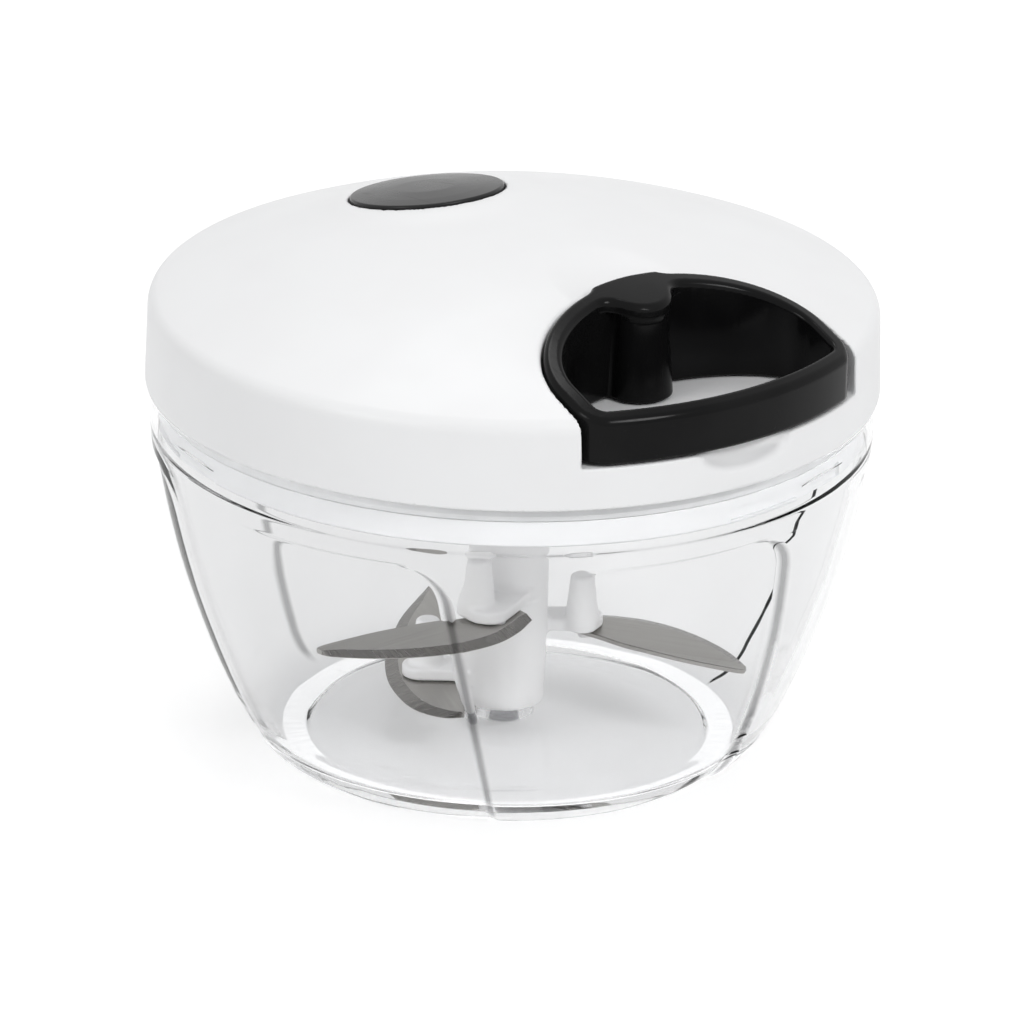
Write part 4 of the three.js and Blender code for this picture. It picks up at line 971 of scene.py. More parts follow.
def arm_rule(x, y, z, level, heading, form):
    turn = math.radians(heading - 90)
    u, v = x * math.cos(turn) + y * math.sin(turn), y * math.cos(turn) - x * math.sin(turn)
    ex, ey = (share * form["reach"] for share in form["arm"])
    px, py = (share * form["reach"] for share in form["peg"])
    sx, sy = (share * form["reach"] for share in form["stub"])
    bottom = level + BLADE_THICKNESS + 0.1
    top = bottom + ARM_THICKNESS
    w, run = v - ARM_ROOT, ey - ARM_ROOT
    along = np.clip((u * ex + w * run) / (ex**2 + run**2), 0, 1)
    plan = np.hypot(u - along * ex, w - along * run) - ARM_HALF_WIDTH
    arm = round_meet(plan, np.abs(z - (bottom + top) / 2) - ARM_THICKNESS / 2, 0.5)
    peg = np.hypot(u - px, v - py) - PEG_RADIUS + PEG_TAPER * np.clip((z - top) / PEG_HEIGHT, 0, 1)
    peg = round_meet(peg * 0.99, np.maximum(z - top - PEG_HEIGHT, bottom + 0.3 - z), 0.7)
    from_stub = np.hypot(u - sx, v - sy)
    stub = np.maximum(from_stub - STUB_RADIUS, np.abs(z - level) - 2)
    head = round_meet(from_stub - STUB_HEAD_RADIUS, np.abs(z - level + 0.45) - 0.35, 0.25)
    return round_join(arm, peg, 0.7), np.minimum(stub, head)


def spindle_rule(x, y, z):
    r = np.hypot(x, y)
    body = r - 6.5 - 0.4 * np.clip((z - SPINDLE_LOW[2]) / 19, 0, 1)
    whole = round_meet(body, np.maximum(SPINDLE_LOW[2] - z, z - SHOULDER), 0.7)
    head = round_meet(r - 4.7, np.maximum(z - SPINDLE_HIGH[2], 30 - z), 0.6)
    fin = r * np.sin(np.minimum(nearest_third(x, y, 0.0), 1.5) - math.radians(FIN_HALF_DEGREES))
    fin = np.maximum(fin, np.maximum(r - SPINDLE_RADIUS, 2.3 - r))
    fin = round_meet(fin, np.maximum(z - SPINDLE_HIGH[2] + 0.7, FIN_BOTTOM - z), 0.4)
    whole = round_join(whole, np.minimum(head, fin), 0.4)
    for name, blade in BLADES.items():
        arm, stub = arm_rule(x, y, z, box_mm(name)[0][2], blade["heading"], blade["form"])
        whole = np.minimum(round_join(whole, arm, 0.9), stub)
    bore = np.maximum(r - 2.6, z - 19.3)
    return round_cut(whole, bore, 0.3)


spindle_mesh = ruled_mesh("white_spindle", spindle_rule, SPINDLE_LOW, SPINDLE_HIGH, 0.42, 0.45)
spindle_place = ("blade_unit", "white_plastic", ["spindle"])
add_piece("white_spindle", spindle_mesh, WHITE_SPINDLE, *spindle_place, even_normals=False)

# %% [markdown]
# ## Blades
# Each blade is a flat curved plate with a wide ground bevel on its bulged front edge. Extruding an
# outline would leave the bevel out, so the blade is lofted: at each station along it stands a
# section with the cutting edge, the bevel, the flat face and the back.

# %% Outlines of the two blade forms, as shares of their reach
SICKLE["lead"] = [
    (0.1, 0.275), (0.22, 0.34), (0.36, 0.38), (0.53, 0.37),
    (0.7, 0.31), (0.86, 0.21), (0.975, 0.1), (1, 0.055),
]
SICKLE["back"] = [
    (0.1, 0.19), (0.22, 0.155), (0.36, 0.115), (0.5, 0.07),
    (0.7, 0.03), (0.86, 0.015), (0.99, 0.015), (1, 0.05),
]
CRESCENT["lead"] = [
    (-0.35, 0.29), (-0.325, 0.39), (-0.2, 0.48), (0.02, 0.505), (0.23, 0.475),
    (0.43, 0.405), (0.73, 0.265), (0.97, 0.1), (1, 0.06),
]
CRESCENT["back"] = [
    (-0.345, 0.285), (-0.28, 0.2), (-0.15, 0.215), (0, 0.235), (0.19, 0.225),
    (0.41, 0.17), (0.68, 0.09), (0.98, 0.02), (1, 0.055),
]
BEVEL_WIDTH = 2.4
BLADE_STATIONS = 90


def smooth_line(points, count):
    """Evenly spaced points on a smooth curve through the given ones."""
    points = np.array(points, float)
    padded = np.vstack([2 * points[0] - points[1], points, 2 * points[-1] - points[-2]])
    fine = []
    for a, b, c, d in zip(padded, padded[1:], padded[2:], padded[3:]):
        for t in np.linspace(0, 1, 24, endpoint=False):
            bend = (2 * a - 5 * b + 4 * c - d) * t**2 + (3 * b - a - 3 * c + d) * t**3
            fine.append(0.5 * (2 * b + (c - a) * t + bend))
    fine = np.array([*fine, points[-1]])
    length = np.concatenate([[0], np.cumsum(np.linalg.norm(np.diff(fine, axis=0), axis=1))])
    at = np.linspace(0, length[-1], count)
    return np.stack([np.interp(at, length, fine[:, i]) for i in range(2)], -1)


def blade_mesh(name, form, level):
    lead = smooth_line(form["lead"], BLADE_STATIONS) * form["reach"]
    back = smooth_line(form["back"], BLADE_STATIONS) * form["reach"]
    rings = []
    for i in range(BLADE_STATIONS):
        across = back[i] - lead[i]
        width = np.linalg.norm(across)
        bevel = min(BEVEL_WIDTH, 0.42 * width)
        inward = across / max(width, 1e-6)
        thick = BLADE_THICKNESS
        section = [(0, 0.0), (0, 0.1), (bevel, thick - 0.02), (bevel * 1.06, thick)]
        section += [(width * 0.985, thick), (width, thick - 0.08), (width, 0.08), (width * 0.985, 0)]
        rings.append([(*(lead[i] + inward * s), level + h) for s, h in section])
    points, faces = swept_rings(rings, False)
    size = len(rings[0])
    faces += [list(range(size))[::-1], [len(points) - size + k for k in range(size)]]
    mesh = new_mesh(name, points, faces, sharp_degrees=14)
    mesh.materials.append(BLADE_FACE)
    mesh.materials.append(BLADE_GROUND)
    for face in mesh.polygons:
        if 0.1 < face.normal.z < 0.97:
            face.material_index = 1
    return mesh


def make_blade(node, heading, form):
    level = box_mm(node)[0][2]
    low, high = level - 4, level + 4
    waist = drill_mesh(0, 0, SPINDLE_RADIUS + 0.1, low, high)
    stub_place = [share * form["reach"] for share in form["stub"]]
    hole = drill_mesh(*stub_place, STUB_RADIUS + 0.1, low, high)
    mesh = cut_mesh(blade_mesh(f"{node}_ground", form, level), [waist, hole], sharp_degrees=14)
    piece = new_object(mesh.name, mesh)
    piece.rotation_euler.z = math.radians(heading - 90)
    piece.modifiers.new("even_normals", "WEIGHTED_NORMAL").keep_sharp = True
    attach(piece, "blade_unit")
    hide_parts(node)
    print(piece.name, "has", len(piece.data.polygons), "faces")


for node, blade in BLADES.items():
    make_blade(node, **blade)

# %% [markdown]
# ## Bowl
# The wall of the bowl has six swirled panels. Each starts level with the wall, slopes inwards as it
# goes round, and ends at the step of the next rib, which leans back as it rises and bends over at
# the top. Carving this into a turned bowl would be laborious, so the mesh is built ring by ring,
# with its corners following the ribs. The step stays crisp, and clear plastic needs such even
# faces, because every dent would bend the light.

# %% Sizes of the bowl
BOWL_HEIGHT = box_mm("bowl")[1][2]
BOWL_RIM = 62.0
BOWL_LEVELS = [0, 0.035, 0.08, 0.2, 0.36, 0.55, 0.76, 0.87, 1]
BOWL_RADII = [0.64, 0.695, 0.736, 0.8, 0.866, 0.929, 0.977, 0.993, 1]
BOWL_WALL = 2.2
RIM_INSIDE = BOWL_RIM - 1.8
PANELS = 6
PANEL_DEPTH = 1.2
PANEL_TOP = BOWL_HEIGHT - 11.4
PANEL_CORNER = 6.5
PANEL_STEP = 0.9
CREASE = 0.47
STEP_SHARE = 0.044
RIB_LEAN = -8.5
RIB_BASE = -39.7


def smooth_table(places, values, at):
    """A value from a table, by a smooth curve that never overshoots its neighbours."""
    places, values = np.array(places, float), np.array(values, float)
    steps = np.diff(values) / np.diff(places)
    product = steps[:-1] * steps[1:]
    middle = np.where(product > 0, 2 * product / np.where(product > 0, steps[:-1] + steps[1:], 1), 0)
    slopes = np.concatenate([[steps[0]], middle, [steps[-1]]])
    k = int(np.clip(np.searchsorted(places, at) - 1, 0, len(places) - 2))
    span = places[k + 1] - places[k]
    t = (at - places[k]) / span
    rise, m0, m1 = values[k + 1] - values[k], slopes[k] * span, slopes[k + 1] * span
    return values[k] + m0 * t + (3 * rise - 2 * m0 - m1) * t**2 + (m0 + m1 - 2 * rise) * t**3


def bowl_radius(z):
    return BOWL_RIM * smooth_table(BOWL_LEVELS, BOWL_RADII, z / BOWL_HEIGHT)


def rib_angle(z):
    level = min(z, PANEL_TOP)
    into = max(0.0, level - (PANEL_TOP - PANEL_CORNER))
    shift = PANEL_CORNER - math.sqrt(max(0.0, PANEL_CORNER**2 - into**2))
    return RIB_BASE + RIB_LEAN * level / PANEL_TOP - math.degrees(shift / bowl_radius(PANEL_TOP))


def ease(t):
    t = min(1.0, max(0.0, t))
    return t * t * (3 - 2 * t)


print("the bowl is", round(BOWL_HEIGHT, 1), "mm high")


# %% Rings of the outside and the inside
LUGS = 3
LUG_TURN = 20.0
LUG_DEGREES = 9.0
LUG_REACH = 0.8
LUG_TOP = BOWL_HEIGHT - 4.4
LUG_HEIGHT = 1.5
FLOOR_FILLET, FLOOR_FILLET_TOP = 5.0, 9.0


def panel_shares():
    """Places along one panel: even ones, and close ones at the crease and at the step."""
    flat = list(np.linspace(0, CREASE - 0.05, 7))
    crease = list(np.linspace(CREASE - 0.03, CREASE + 0.05, 5))
    slope = list(np.linspace(CREASE + 0.08, 1 - 2.2 * STEP_SHARE, 14))
    from_end = (1.6, 1.3, 1.1, 1.0, 0.94, 0.86, 0.75, 0.62, 0.5, 0.38, 0.25, 0.14, 0.06)
    return flat + crease + slope + [1 - STEP_SHARE * s for s in from_end]


def panel_slope(share):
    """0 on the flat part of a panel, growing to 1 at its step, and back to 0 over the step."""
    if share > 1 - STEP_SHARE:
        t = (share - 1 + STEP_SHARE) / STEP_SHARE
        return 1 - 0.4 * ease(t) - 0.6 * t
    return max(0.0, (share - CREASE) / (1 - STEP_SHARE - CREASE))


def panel_painted_shade(share, z):
    """Painted shade on a step at a place: 1 in the middle of its face and 0 beside it."""
    up = (z - PANEL_TOP) / PANEL_STEP
    side = (share - 1 + STEP_SHARE) / STEP_SHARE
    face = min(1.0, 1.2 * math.sin(math.pi * min(1, max(0, side))) ** 2) * (1 - ease(up))
    ledge = math.sin(math.pi * min(1, max(0, up))) * panel_slope(share)
    return max(face, ledge) * ease((z - 0.5) / 3.0)


def bowl_ring(radius, z, panelled=False, lugs=0.0):
    """Points of one ring, each with its painted shade."""
    ring = []
    for panel in range(PANELS):
        for share in PANEL_SHARES:
            degrees = rib_angle(z) + (panel + share) * 360 / PANELS
            shade, r = 0.0, radius
            if panelled:
                r -= PANEL_DEPTH * panel_slope(share) * (1 - ease((z - PANEL_TOP) / PANEL_STEP))
                shade = panel_painted_shade(share, z)
            if lugs:
                off = abs((degrees - LUG_TURN + 60) % (360 / LUGS) - 60)
                r -= lugs * LUG_REACH * (1 - ease((off - LUG_DEGREES / 2) / 1.2))
            a = math.radians(degrees)
            ring.append((r * math.sin(a), -r * math.cos(a), z, shade))
    return ring


def bowl_outside():
    foot = bowl_radius(0) - 5.0
    rings = [[(0, 0, 0.9, 0)]]
    sole = [(20, 0.9), (foot - 1.1, 0.9), (foot - 0.7, 0.75), (foot - 0.25, 0.12), (foot, 0)]
    sole.append((bowl_radius(0) - 0.9, 0))
    rings += [bowl_ring(r, z) for r, z in sole]
    heights = [*np.linspace(0.25, 5, 9), *np.linspace(6, PANEL_TOP - PANEL_CORNER, 30)]
    corner = np.linspace(0.12, math.pi / 2, 14)
    heights += [PANEL_TOP - PANEL_CORNER * (1 - math.sin(t)) for t in corner]
    step = (0.12, 0.24, 0.38, 0.5, 0.62, 0.76, 0.88, 1.0, 1.3)
    heights += [PANEL_TOP + PANEL_STEP * t for t in step]
    heights += list(np.linspace(PANEL_TOP + 2, BOWL_HEIGHT - 0.5, 6))
    return rings + [bowl_ring(bowl_radius(z), z, panelled=True) for z in heights]


def bowl_inside():
    turn = np.linspace(0, math.pi / 2, 5)
    (r, z), size = (BOWL_RIM - 0.4, BOWL_HEIGHT - 0.4), 0.4
    rings = [bowl_ring(r + size * math.cos(a), z + size * math.sin(a)) for a in turn[1:]]
    (r, z), size = (RIM_INSIDE + 0.3, BOWL_HEIGHT - 0.3), 0.3
    rings += [bowl_ring(r - size * math.sin(a), z + size * math.cos(a)) for a in turn]
    ledge = BOWL_HEIGHT - 8.0
    rings += [bowl_ring(RIM_INSIDE, z) for z in (BOWL_HEIGHT - 1.5, LUG_TOP + 1.2, LUG_TOP + 0.2)]
    middle = np.linspace(LUG_TOP, LUG_TOP - LUG_HEIGHT, 4)
    rings += [bowl_ring(RIM_INSIDE, z, lugs=1.0) for z in middle]
    rings += [bowl_ring(RIM_INSIDE, z) for z in (LUG_TOP - LUG_HEIGHT - 0.2, ledge + 0.7)]
    inner = bowl_radius(ledge - 1.4) - BOWL_WALL
    for t in np.linspace(0, 1, 7):
        rings.append(bowl_ring(RIM_INSIDE + (inner - RIM_INSIDE) * ease(t), ledge + 0.5 - 1.7 * t))
    rings += [bowl_ring(bowl_radius(z) - BOWL_WALL, z) for z in np.linspace(ledge - 1.5, 9.4, 34)]
    fillet, top = FLOOR_FILLET, FLOOR_FILLET_TOP
    middle = bowl_radius(top) - BOWL_WALL - fillet
    for a in np.linspace(0, math.pi / 2, 12):
        rings.append(bowl_ring(middle + fillet * math.cos(a), top - fillet * math.sin(a)))
    floor = [(36, 4.0), (34.6, 3.98), (33.9, 3.9), (33.2, 3.75), (32.5, 3.6), (31.8, 3.52), (31, 3.5)]
    boss = [(6.2, 3.5), (5.2, 3.6), (4.86, 4.0), (4.8, 5.2), (4.6, 5.55), (4.3, 5.6), (2.8, 5.6)]
    bore = [(2.5, 5.4), (2.5, 1.9)]
    return rings + [bowl_ring(r, z) for r, z in floor + boss + bore] + [[(0, 0, 1.9, 0)]]


def make_bowl_mesh():
    points, faces = swept_rings(bowl_outside() + bowl_inside(), False)
    mesh = new_mesh("clear_bowl", [p[:3] for p in points], faces, sharp_degrees=60)
    # The painted shade of the rib steps is stored on the mesh as a mask
    shade = mesh.attributes.new("step_painted_shade", "FLOAT", "POINT")
    shade.data.foreach_set("value", np.array([p[3] for p in points], np.float32))
    return mesh


PANEL_SHARES = panel_shares()
bowl_mesh = make_bowl_mesh()
bowl_place = ("bowl", "clear_plastic", ["bowl"])
add_piece("clear_bowl", bowl_mesh, CLEAR_PLASTIC, *bowl_place, even_normals=False)
print("the bowl has", len(bowl_mesh.polygons), "faces in", PANELS, "panels")

# %% [markdown]
# ## The lid's inner half
# Under the cover lies a white plate whose skirt reaches into the rim. Through the clear rim it
# shows as a white band. It is turned, and then the screw holes and the slots that lock on the
# bowl's lugs are cut into it. Each slot has an upright entry and a level run to one side, so the
# lid goes down and is turned to lock.

# %% Plate and skirt
BASE_LOW, BASE_HIGH = box_mm("lid_base")
SKIRT_RADIUS = RIM_INSIDE - 0.45
PLATE_BOTTOM = BOWL_HEIGHT + 0.1
PLATE_TOP = PLATE_BOTTOM + 2.0
SEAL_LOW, SEAL_HIGH = box_mm("lid_seal")
SOCKET_RADIUS = 9.8
COLLAR = SOCKET_RADIUS + 0.4
SLOT_RADIUS = SKIRT_RADIUS - 0.65
SLOT_TOP = LUG_TOP + 0.35
SLOT_ENTRY_DEGREES = 13.0
SLOT_RUN_DEGREES = 28.0
SLOT_RUN_TURN = -7.5
SLOT_RUN_HEIGHT = 2.15


def sector_mesh(middle, width, inner, outer, low, high):
    """A closed piece of a ring, between two angles, as a tool for a slot."""
    turns = np.radians(middle + np.linspace(-width / 2, width / 2, 17))
    plan = [(inner * math.sin(a), -inner * math.cos(a)) for a in turns]
    plan += [(outer * math.sin(a), -outer * math.cos(a)) for a in turns[::-1]]
    count = len(plan)
    points, faces = swept_rings([[(x, y, z) for x, y in plan] for z in (low, high)], False)
    faces += [list(range(count))[::-1], list(range(count, 2 * count))]
    return new_mesh("sector", points, faces)


SKIRT_WALL = 2.8
GROOVE_DEPTH = 1.5
COLLAR_WALL = 1.8
base_corners = [
    (COLLAR, PLATE_BOTTOM, 0.3), (SKIRT_RADIUS - SKIRT_WALL, PLATE_BOTTOM, 0.8),
    (SKIRT_RADIUS - SKIRT_WALL, BASE_LOW[2], 0.5), (SKIRT_RADIUS, BASE_LOW[2], 0.5),
    (SKIRT_RADIUS, SEAL_LOW[2] - 0.1, 0.2), (SKIRT_RADIUS - GROOVE_DEPTH, SEAL_LOW[2] - 0.1, 0.2),
    (SKIRT_RADIUS - GROOVE_DEPTH, SEAL_HIGH[2] + 0.1, 0.2), (SKIRT_RADIUS, SEAL_HIGH[2] + 0.1, 0.1),
    (BASE_HIGH[0], PLATE_BOTTOM + 0.2, 0.1), (BASE_HIGH[0], PLATE_TOP, 0.3),
    (COLLAR + COLLAR_WALL, PLATE_TOP, 0.5), (COLLAR + COLLAR_WALL, BASE_HIGH[2], 0.3),
    (COLLAR, BASE_HIGH[2], 0.3),
]
base_tools = [drill_mesh(x, y, 1.5, PLATE_BOTTOM - 1, PLATE_TOP + 1) for x, y in LID_SCREWS]
for turn in np.arange(LUGS) * 360 / LUGS + LUG_TURN:
    entry = (SLOT_ENTRY_DEGREES, SLOT_RADIUS, BOWL_RIM, BASE_LOW[2] - 1, SLOT_TOP)
    run = (SLOT_RUN_DEGREES, SLOT_RADIUS, BOWL_RIM, SLOT_TOP - SLOT_RUN_HEIGHT, SLOT_TOP)
    base_tools += [sector_mesh(turn, *entry), sector_mesh(turn + SLOT_RUN_TURN, *run)]
base_mesh = cut_mesh(turned_mesh("white_base", base_corners, 160, 4), base_tools)
add_piece("white_base", base_mesh, WHITE_SHELL, "lid", "white_plastic", ["lid_base"])
print("the skirt is", round(2 * SKIRT_RADIUS, 1), "mm across, with", LUGS, "slots")

# %% [markdown]
# ## Seal
# A soft ring lies in a groove of the skirt and closes the gap to the rim. It touches the rim along
# a blunt lip, so its outline has a low peak in the middle.

# %% The seal ring in its groove
SEAL_INSIDE = SKIRT_RADIUS - GROOVE_DEPTH + 0.1
seal_corners = [
    (SEAL_INSIDE, SEAL_LOW[2], 0.2), (RIM_INSIDE - 0.4, SEAL_LOW[2], 0.2),
    (RIM_INSIDE - 0.25, (SEAL_LOW[2] + SEAL_HIGH[2]) / 2, 0.6), (RIM_INSIDE - 0.4, SEAL_HIGH[2], 0.2),
    (SEAL_INSIDE, SEAL_HIGH[2], 0.2),
]
seal_mesh = turned_mesh("seal_ring", seal_corners, 160)
add_piece("seal_ring", seal_mesh, SEAL_RUBBER, "seal", "silicone", ["lid_seal"])
print("the seal is", round(SEAL_HIGH[2] - SEAL_LOW[2], 1), "mm high")

# %% [markdown]
# ## Disc
# A black disc sits in the plateau, level with its edge and slightly crowned. It is bare here. It
# leans back with the dome, and this lean is worked into its mesh, so that the object's own box is
# as small as the disc.

# %% The disc on its plateau
disc_corners = [
    (0, -DISC_SEAT + 0.1), (DISC_RADIUS, -DISC_SEAT + 0.1, 0.2), (DISC_RADIUS, 0.5, 0.45),
    (DISC_RADIUS * 0.75, 0.85, 20.0), (DISC_RADIUS * 0.4, 1.2, 20.0), (0, 1.3),
]
disc_mesh = turned_mesh("black_disc", disc_corners)
seat_reach = (DOME_RADIUS + PLATEAU_LIFT) * MM
seat_height = DOME_CENTRE * MM + seat_reach * math.cos(DISC_PLACE)
seat_place = Matrix.Translation((0, seat_reach * math.sin(DISC_PLACE), seat_height))
disc_mesh.transform(seat_place @ Matrix.Rotation(-DISC_TILT, 4, "X"))
add_piece("black_disc", disc_mesh, BLACK_DISC, "lid", "disc_black", ["top_disc"])
print("the disc leans back by", round(math.degrees(DISC_TILT), 1), "degrees")

# %% [markdown]
# ## Screws
# Four screws hold the lid's halves together, and a shorter one with a washer holds the drum on its
# axle. All of them point up. A screw could be a plain pin with a picture of a thread on it. Here
# the thread is real: the shank is built ring by ring, and on each ring the radius swells at the
# place that the thread has reached.


# %% One function for the screws
def turned_corners(corners, quarter):
    """Corners turned by a number of quarters, given as a power of 1j."""
    turned = [complex(*corner) * quarter for corner in corners]
    return [(p.real, p.imag) for p in turned]


def cross_mesh(reach, half_width, low, high):
    """A tapered cross, the shape that the tip of a screwdriver leaves in a head."""
    rings = []
    for z, share in ((low, 1.0), (high, 0.55)):
        r, h = reach * share, half_width * share
        quarter = [(r, -h), (r, h), (h, h)]
        plan = [p for q in (1, 1j, -1, -1j) for p in turned_corners(quarter, q)]
        rings.append([(x, y, z) for x, y in plan])
    points, faces = swept_rings(rings, False)
    return new_mesh("cross", points, faces + [list(range(12))[::-1], list(range(12, 24))])


def screw_mesh(name, head_radius, head_height, length, shank=1.4, pitch=1.1):
    """A screw that stands on its head and points up."""
    turns = np.arange(48) * 2 * math.pi / 48
    head = [(head_radius, 0, 0.5), (head_radius, head_height, 0.2), (shank, head_height, 0.1)]
    neck = head_height + 0.35
    rings = [[(0, 0, 0)]]
    for r, z in rounded([(0, 0), *head, (shank, neck), (0, neck)])[1:-1]:
        rings.append([(r * math.cos(a), r * math.sin(a), z) for a in turns])
    for z in np.arange(neck + 0.1, length - 0.7, pitch / 9):
        ring = []
        for a in turns:
            away = abs((z / pitch - a / (2 * math.pi)) % 1.0 - 0.5) * 2
            swell = 1 - 0.24 * min(1.0, away / 0.75) * min(1.0, (z - neck) / 0.6)
            ring.append((shank * swell * math.cos(a), shank * swell * math.sin(a), z))
        rings.append(ring)
    for r, z in ((0.95, length - 0.6), (0.55, length - 0.1)):
        rings.append([(r * math.cos(a), r * math.sin(a), z) for a in turns])
    rings.append([(0, 0, length)])
    mesh = new_mesh(name, *swept_rings(rings, False), sharp_degrees=35)
    return cut_mesh(mesh, [cross_mesh(head_radius * 0.56, 0.34, -0.5, head_height * 0.7)], 35)


def add_screw(node, head_height):
    low, high = box_mm(node)
    middle = (low + high) / 2
    mesh = screw_mesh(f"{node}_threaded", (high[0] - low[0]) / 2, head_height, high[2] - low[2])
    place = (middle[0], middle[1], low[2])
    add_piece(mesh.name, mesh, BRIGHT_STEEL, "lid", "bright_steel", [node], place=place)


for i in (1, 2, 3, 4):
    add_screw(f"lid_screw_{i}", 1.7)
add_screw("axle_screw", 1.7)
screw_low, screw_high = box_mm("lid_screw_1")
print("the lid's screws are", round(screw_high[2] - screw_low[2], 1), "mm long")

# %% [markdown]
# ## Axle, washer and pivot pin
# The drum turns on a steel axle that is pressed into the cover, and the spindle turns on a pin in
# the middle of the bowl. All are cut on a lathe, so they are turned here too, with the small bevels
# that a lathe leaves.

# %% The turned steel pieces
AXLE_LOW, AXLE_HIGH = box_mm("drum_axle")
SCREW_TIP = box_mm("axle_screw")[1][2]
SCREW_HOLE = 1.5
axle_corners = [
    (0, SCREW_TIP + 0.9), (SCREW_HOLE, SCREW_TIP + 0.5), (SCREW_HOLE, AXLE_LOW[2], 0.15),
    (AXLE_HIGH[0], AXLE_LOW[2], 0.35), (AXLE_HIGH[0], AXLE_HIGH[2], 0.6), (0, AXLE_HIGH[2]),
]
axle_mesh = turned_mesh("axle", axle_corners, 64)
add_piece("axle", axle_mesh, BRIGHT_STEEL, "lid", "bright_steel", ["drum_axle"])
WASHER_LOW, WASHER_HIGH = box_mm("axle_washer")
washer_corners = [
    (SCREW_HOLE, WASHER_LOW[2], 0.1), (WASHER_HIGH[0], WASHER_LOW[2], 0.15),
    (WASHER_HIGH[0], WASHER_HIGH[2], 0.25), (SCREW_HOLE, WASHER_HIGH[2], 0.1),
]
washer_mesh = turned_mesh("washer", washer_corners, 72)
add_piece("washer", washer_mesh, BRIGHT_STEEL, "lid", "bright_steel", ["axle_washer"])
PIN_LOW, PIN_HIGH = box_mm("pivot_pin")
pin_corners = [
    (0, PIN_LOW[2]), (PIN_HIGH[0], PIN_LOW[2], 0.3), (PIN_HIGH[0], PIN_HIGH[2], 1.0), (0, PIN_HIGH[2]),
]
pin_mesh = turned_mesh("centre_pin", pin_corners, 64, 8)
add_piece("centre_pin", pin_mesh, BRIGHT_STEEL, "bowl", "bright_steel", ["pivot_pin"])
print("the axle is", round(AXLE_HIGH[2] - AXLE_LOW[2], 1), "mm long")

# %% [markdown]
# ## Drum
# The cord winds on a plastic drum. Its groove holds two layers of cord, the cup in its top holds
# the spring, and three holes in its floor take the pins of the socket. The drum is turned, and the
# holes are cut afterwards.

# %% The drum and its pin holes
DRUM_LOW, DRUM_HIGH = box_mm("cord_drum")
DRUM_BARREL = 17.6
DRUM_FLOOR = 1.6
PIN_CIRCLE = 6.9
PIN_HOLE = 1.5
AXLE_BORE = AXLE_HIGH[0] + 0.1
low, high, rim = DRUM_LOW[2], DRUM_HIGH[2], DRUM_HIGH[0]
cup = DRUM_BARREL - 1.8
floor_top, flange_bottom = low + DRUM_FLOOR, high - DRUM_FLOOR
drum_corners = [
    (AXLE_BORE, low, 0.2), (rim, low, 0.5), (rim, floor_top, 0.5), (DRUM_BARREL, floor_top, 0.6),
    (DRUM_BARREL, flange_bottom, 0.6), (rim, flange_bottom, 0.5), (rim, high, 0.5),
    (cup, high, 0.3), (cup, floor_top, 0.4), (AXLE_BORE, floor_top, 0.2),
]
pin_turns = np.radians([0, 120, 240])
pin_places = [(PIN_CIRCLE * math.sin(a), -PIN_CIRCLE * math.cos(a)) for a in pin_turns]
drum_tools = [drill_mesh(x, y, PIN_HOLE, low - 1, floor_top + 1) for x, y in pin_places]
drum_mesh = cut_mesh(turned_mesh("drum", drum_corners, 128), drum_tools)
add_piece("drum", drum_mesh, NATURAL_PLASTIC, "drum", "natural_plastic", ["cord_drum"])
(_, _, low), (edge, _, high) = box_mm("spring_cover")
hole, dip = 5.7, high - 0.35
spring_lid_corners = [
    (hole, low, 0.15), (edge, low, 0.15), (edge, high, 0.3), (13.2, high, 0.3),
    (12.6, dip, 0.3), (8.4, dip, 0.3), (7.8, high, 0.3), (hole, high, 0.3),
]
spring_lid = turned_mesh("spring_lid", spring_lid_corners, 96)
add_piece("spring_lid", spring_lid, NATURAL_PLASTIC, "drum", "natural_plastic", ["spring_cover"])
print("the drum is", round(2 * rim, 1), "mm across")

# %% [markdown]
# ## Drive socket
# A short tube under the drum takes the head of the spindle. Its three dogs push on the spindle's
# three fins, and its three pins sit in the drum's holes. The dogs run into the tube with rounded
# corners, so it is a rule again.

# %% The rule of the socket
SOCKET_LOW, SOCKET_HIGH = box_mm("drive_socket")
SOCKET_TOP = DRUM_LOW[2] - 0.1
SOCKET_WALL = 2.4
SOCKET_CEILING = 1.8
DOG_INSIDE = 5.3
DOG_TOP = SOCKET_LOW[2] + 7.6
DOG_HALF_DEGREES = 18
PIN_RADIUS = 1.4


def socket_rule(x, y, z):
    r = np.hypot(x, y)
    tube = round_meet(r - SOCKET_RADIUS, np.maximum(SOCKET_LOW[2] - z, z - SOCKET_TOP), 0.4)
    hollow = round_meet(r - SOCKET_RADIUS + SOCKET_WALL, z - SOCKET_TOP + SOCKET_CEILING, 0.5)
    tube = round_cut(tube, hollow, 0.3)
    off = np.minimum(nearest_third(x, y, math.pi / 3), 1.5) - math.radians(DOG_HALF_DEGREES)
    dog = round_meet(r * np.sin(off), np.maximum(DOG_INSIDE - r, r - SOCKET_RADIUS + 1), 0.4)
    dog = round_meet(dog, np.maximum(SOCKET_LOW[2] + 0.05 - z, z - DOG_TOP), 0.4)
    whole = round_join(tube, dog, 0.5)
    a = nearest_third(x, y, 0.0)
    pin = np.hypot(r * np.sin(a), r * np.cos(a) - PIN_CIRCLE) - PIN_RADIUS
    pin = round_meet(pin, np.maximum(z - SOCKET_HIGH[2], SOCKET_TOP - 1.5 - z), 0.25)
    return round_cut(round_join(whole, pin, 0.2), r - AXLE_BORE, 0.2)


socket_mesh = ruled_mesh("socket", socket_rule, SOCKET_LOW, SOCKET_HIGH, 0.4, 0.5)
socket_place = ("drum", "natural_plastic", ["drive_socket"])
add_piece("socket", socket_mesh, NATURAL_PLASTIC, *socket_place, even_normals=False)

# %% [markdown]
# ## Spring
# A flat steel strip winds the cord back. A curve with a bevel would make a round wire, but this is
# a tall strip, so its section, with blunt edges, is carried along a spiral.

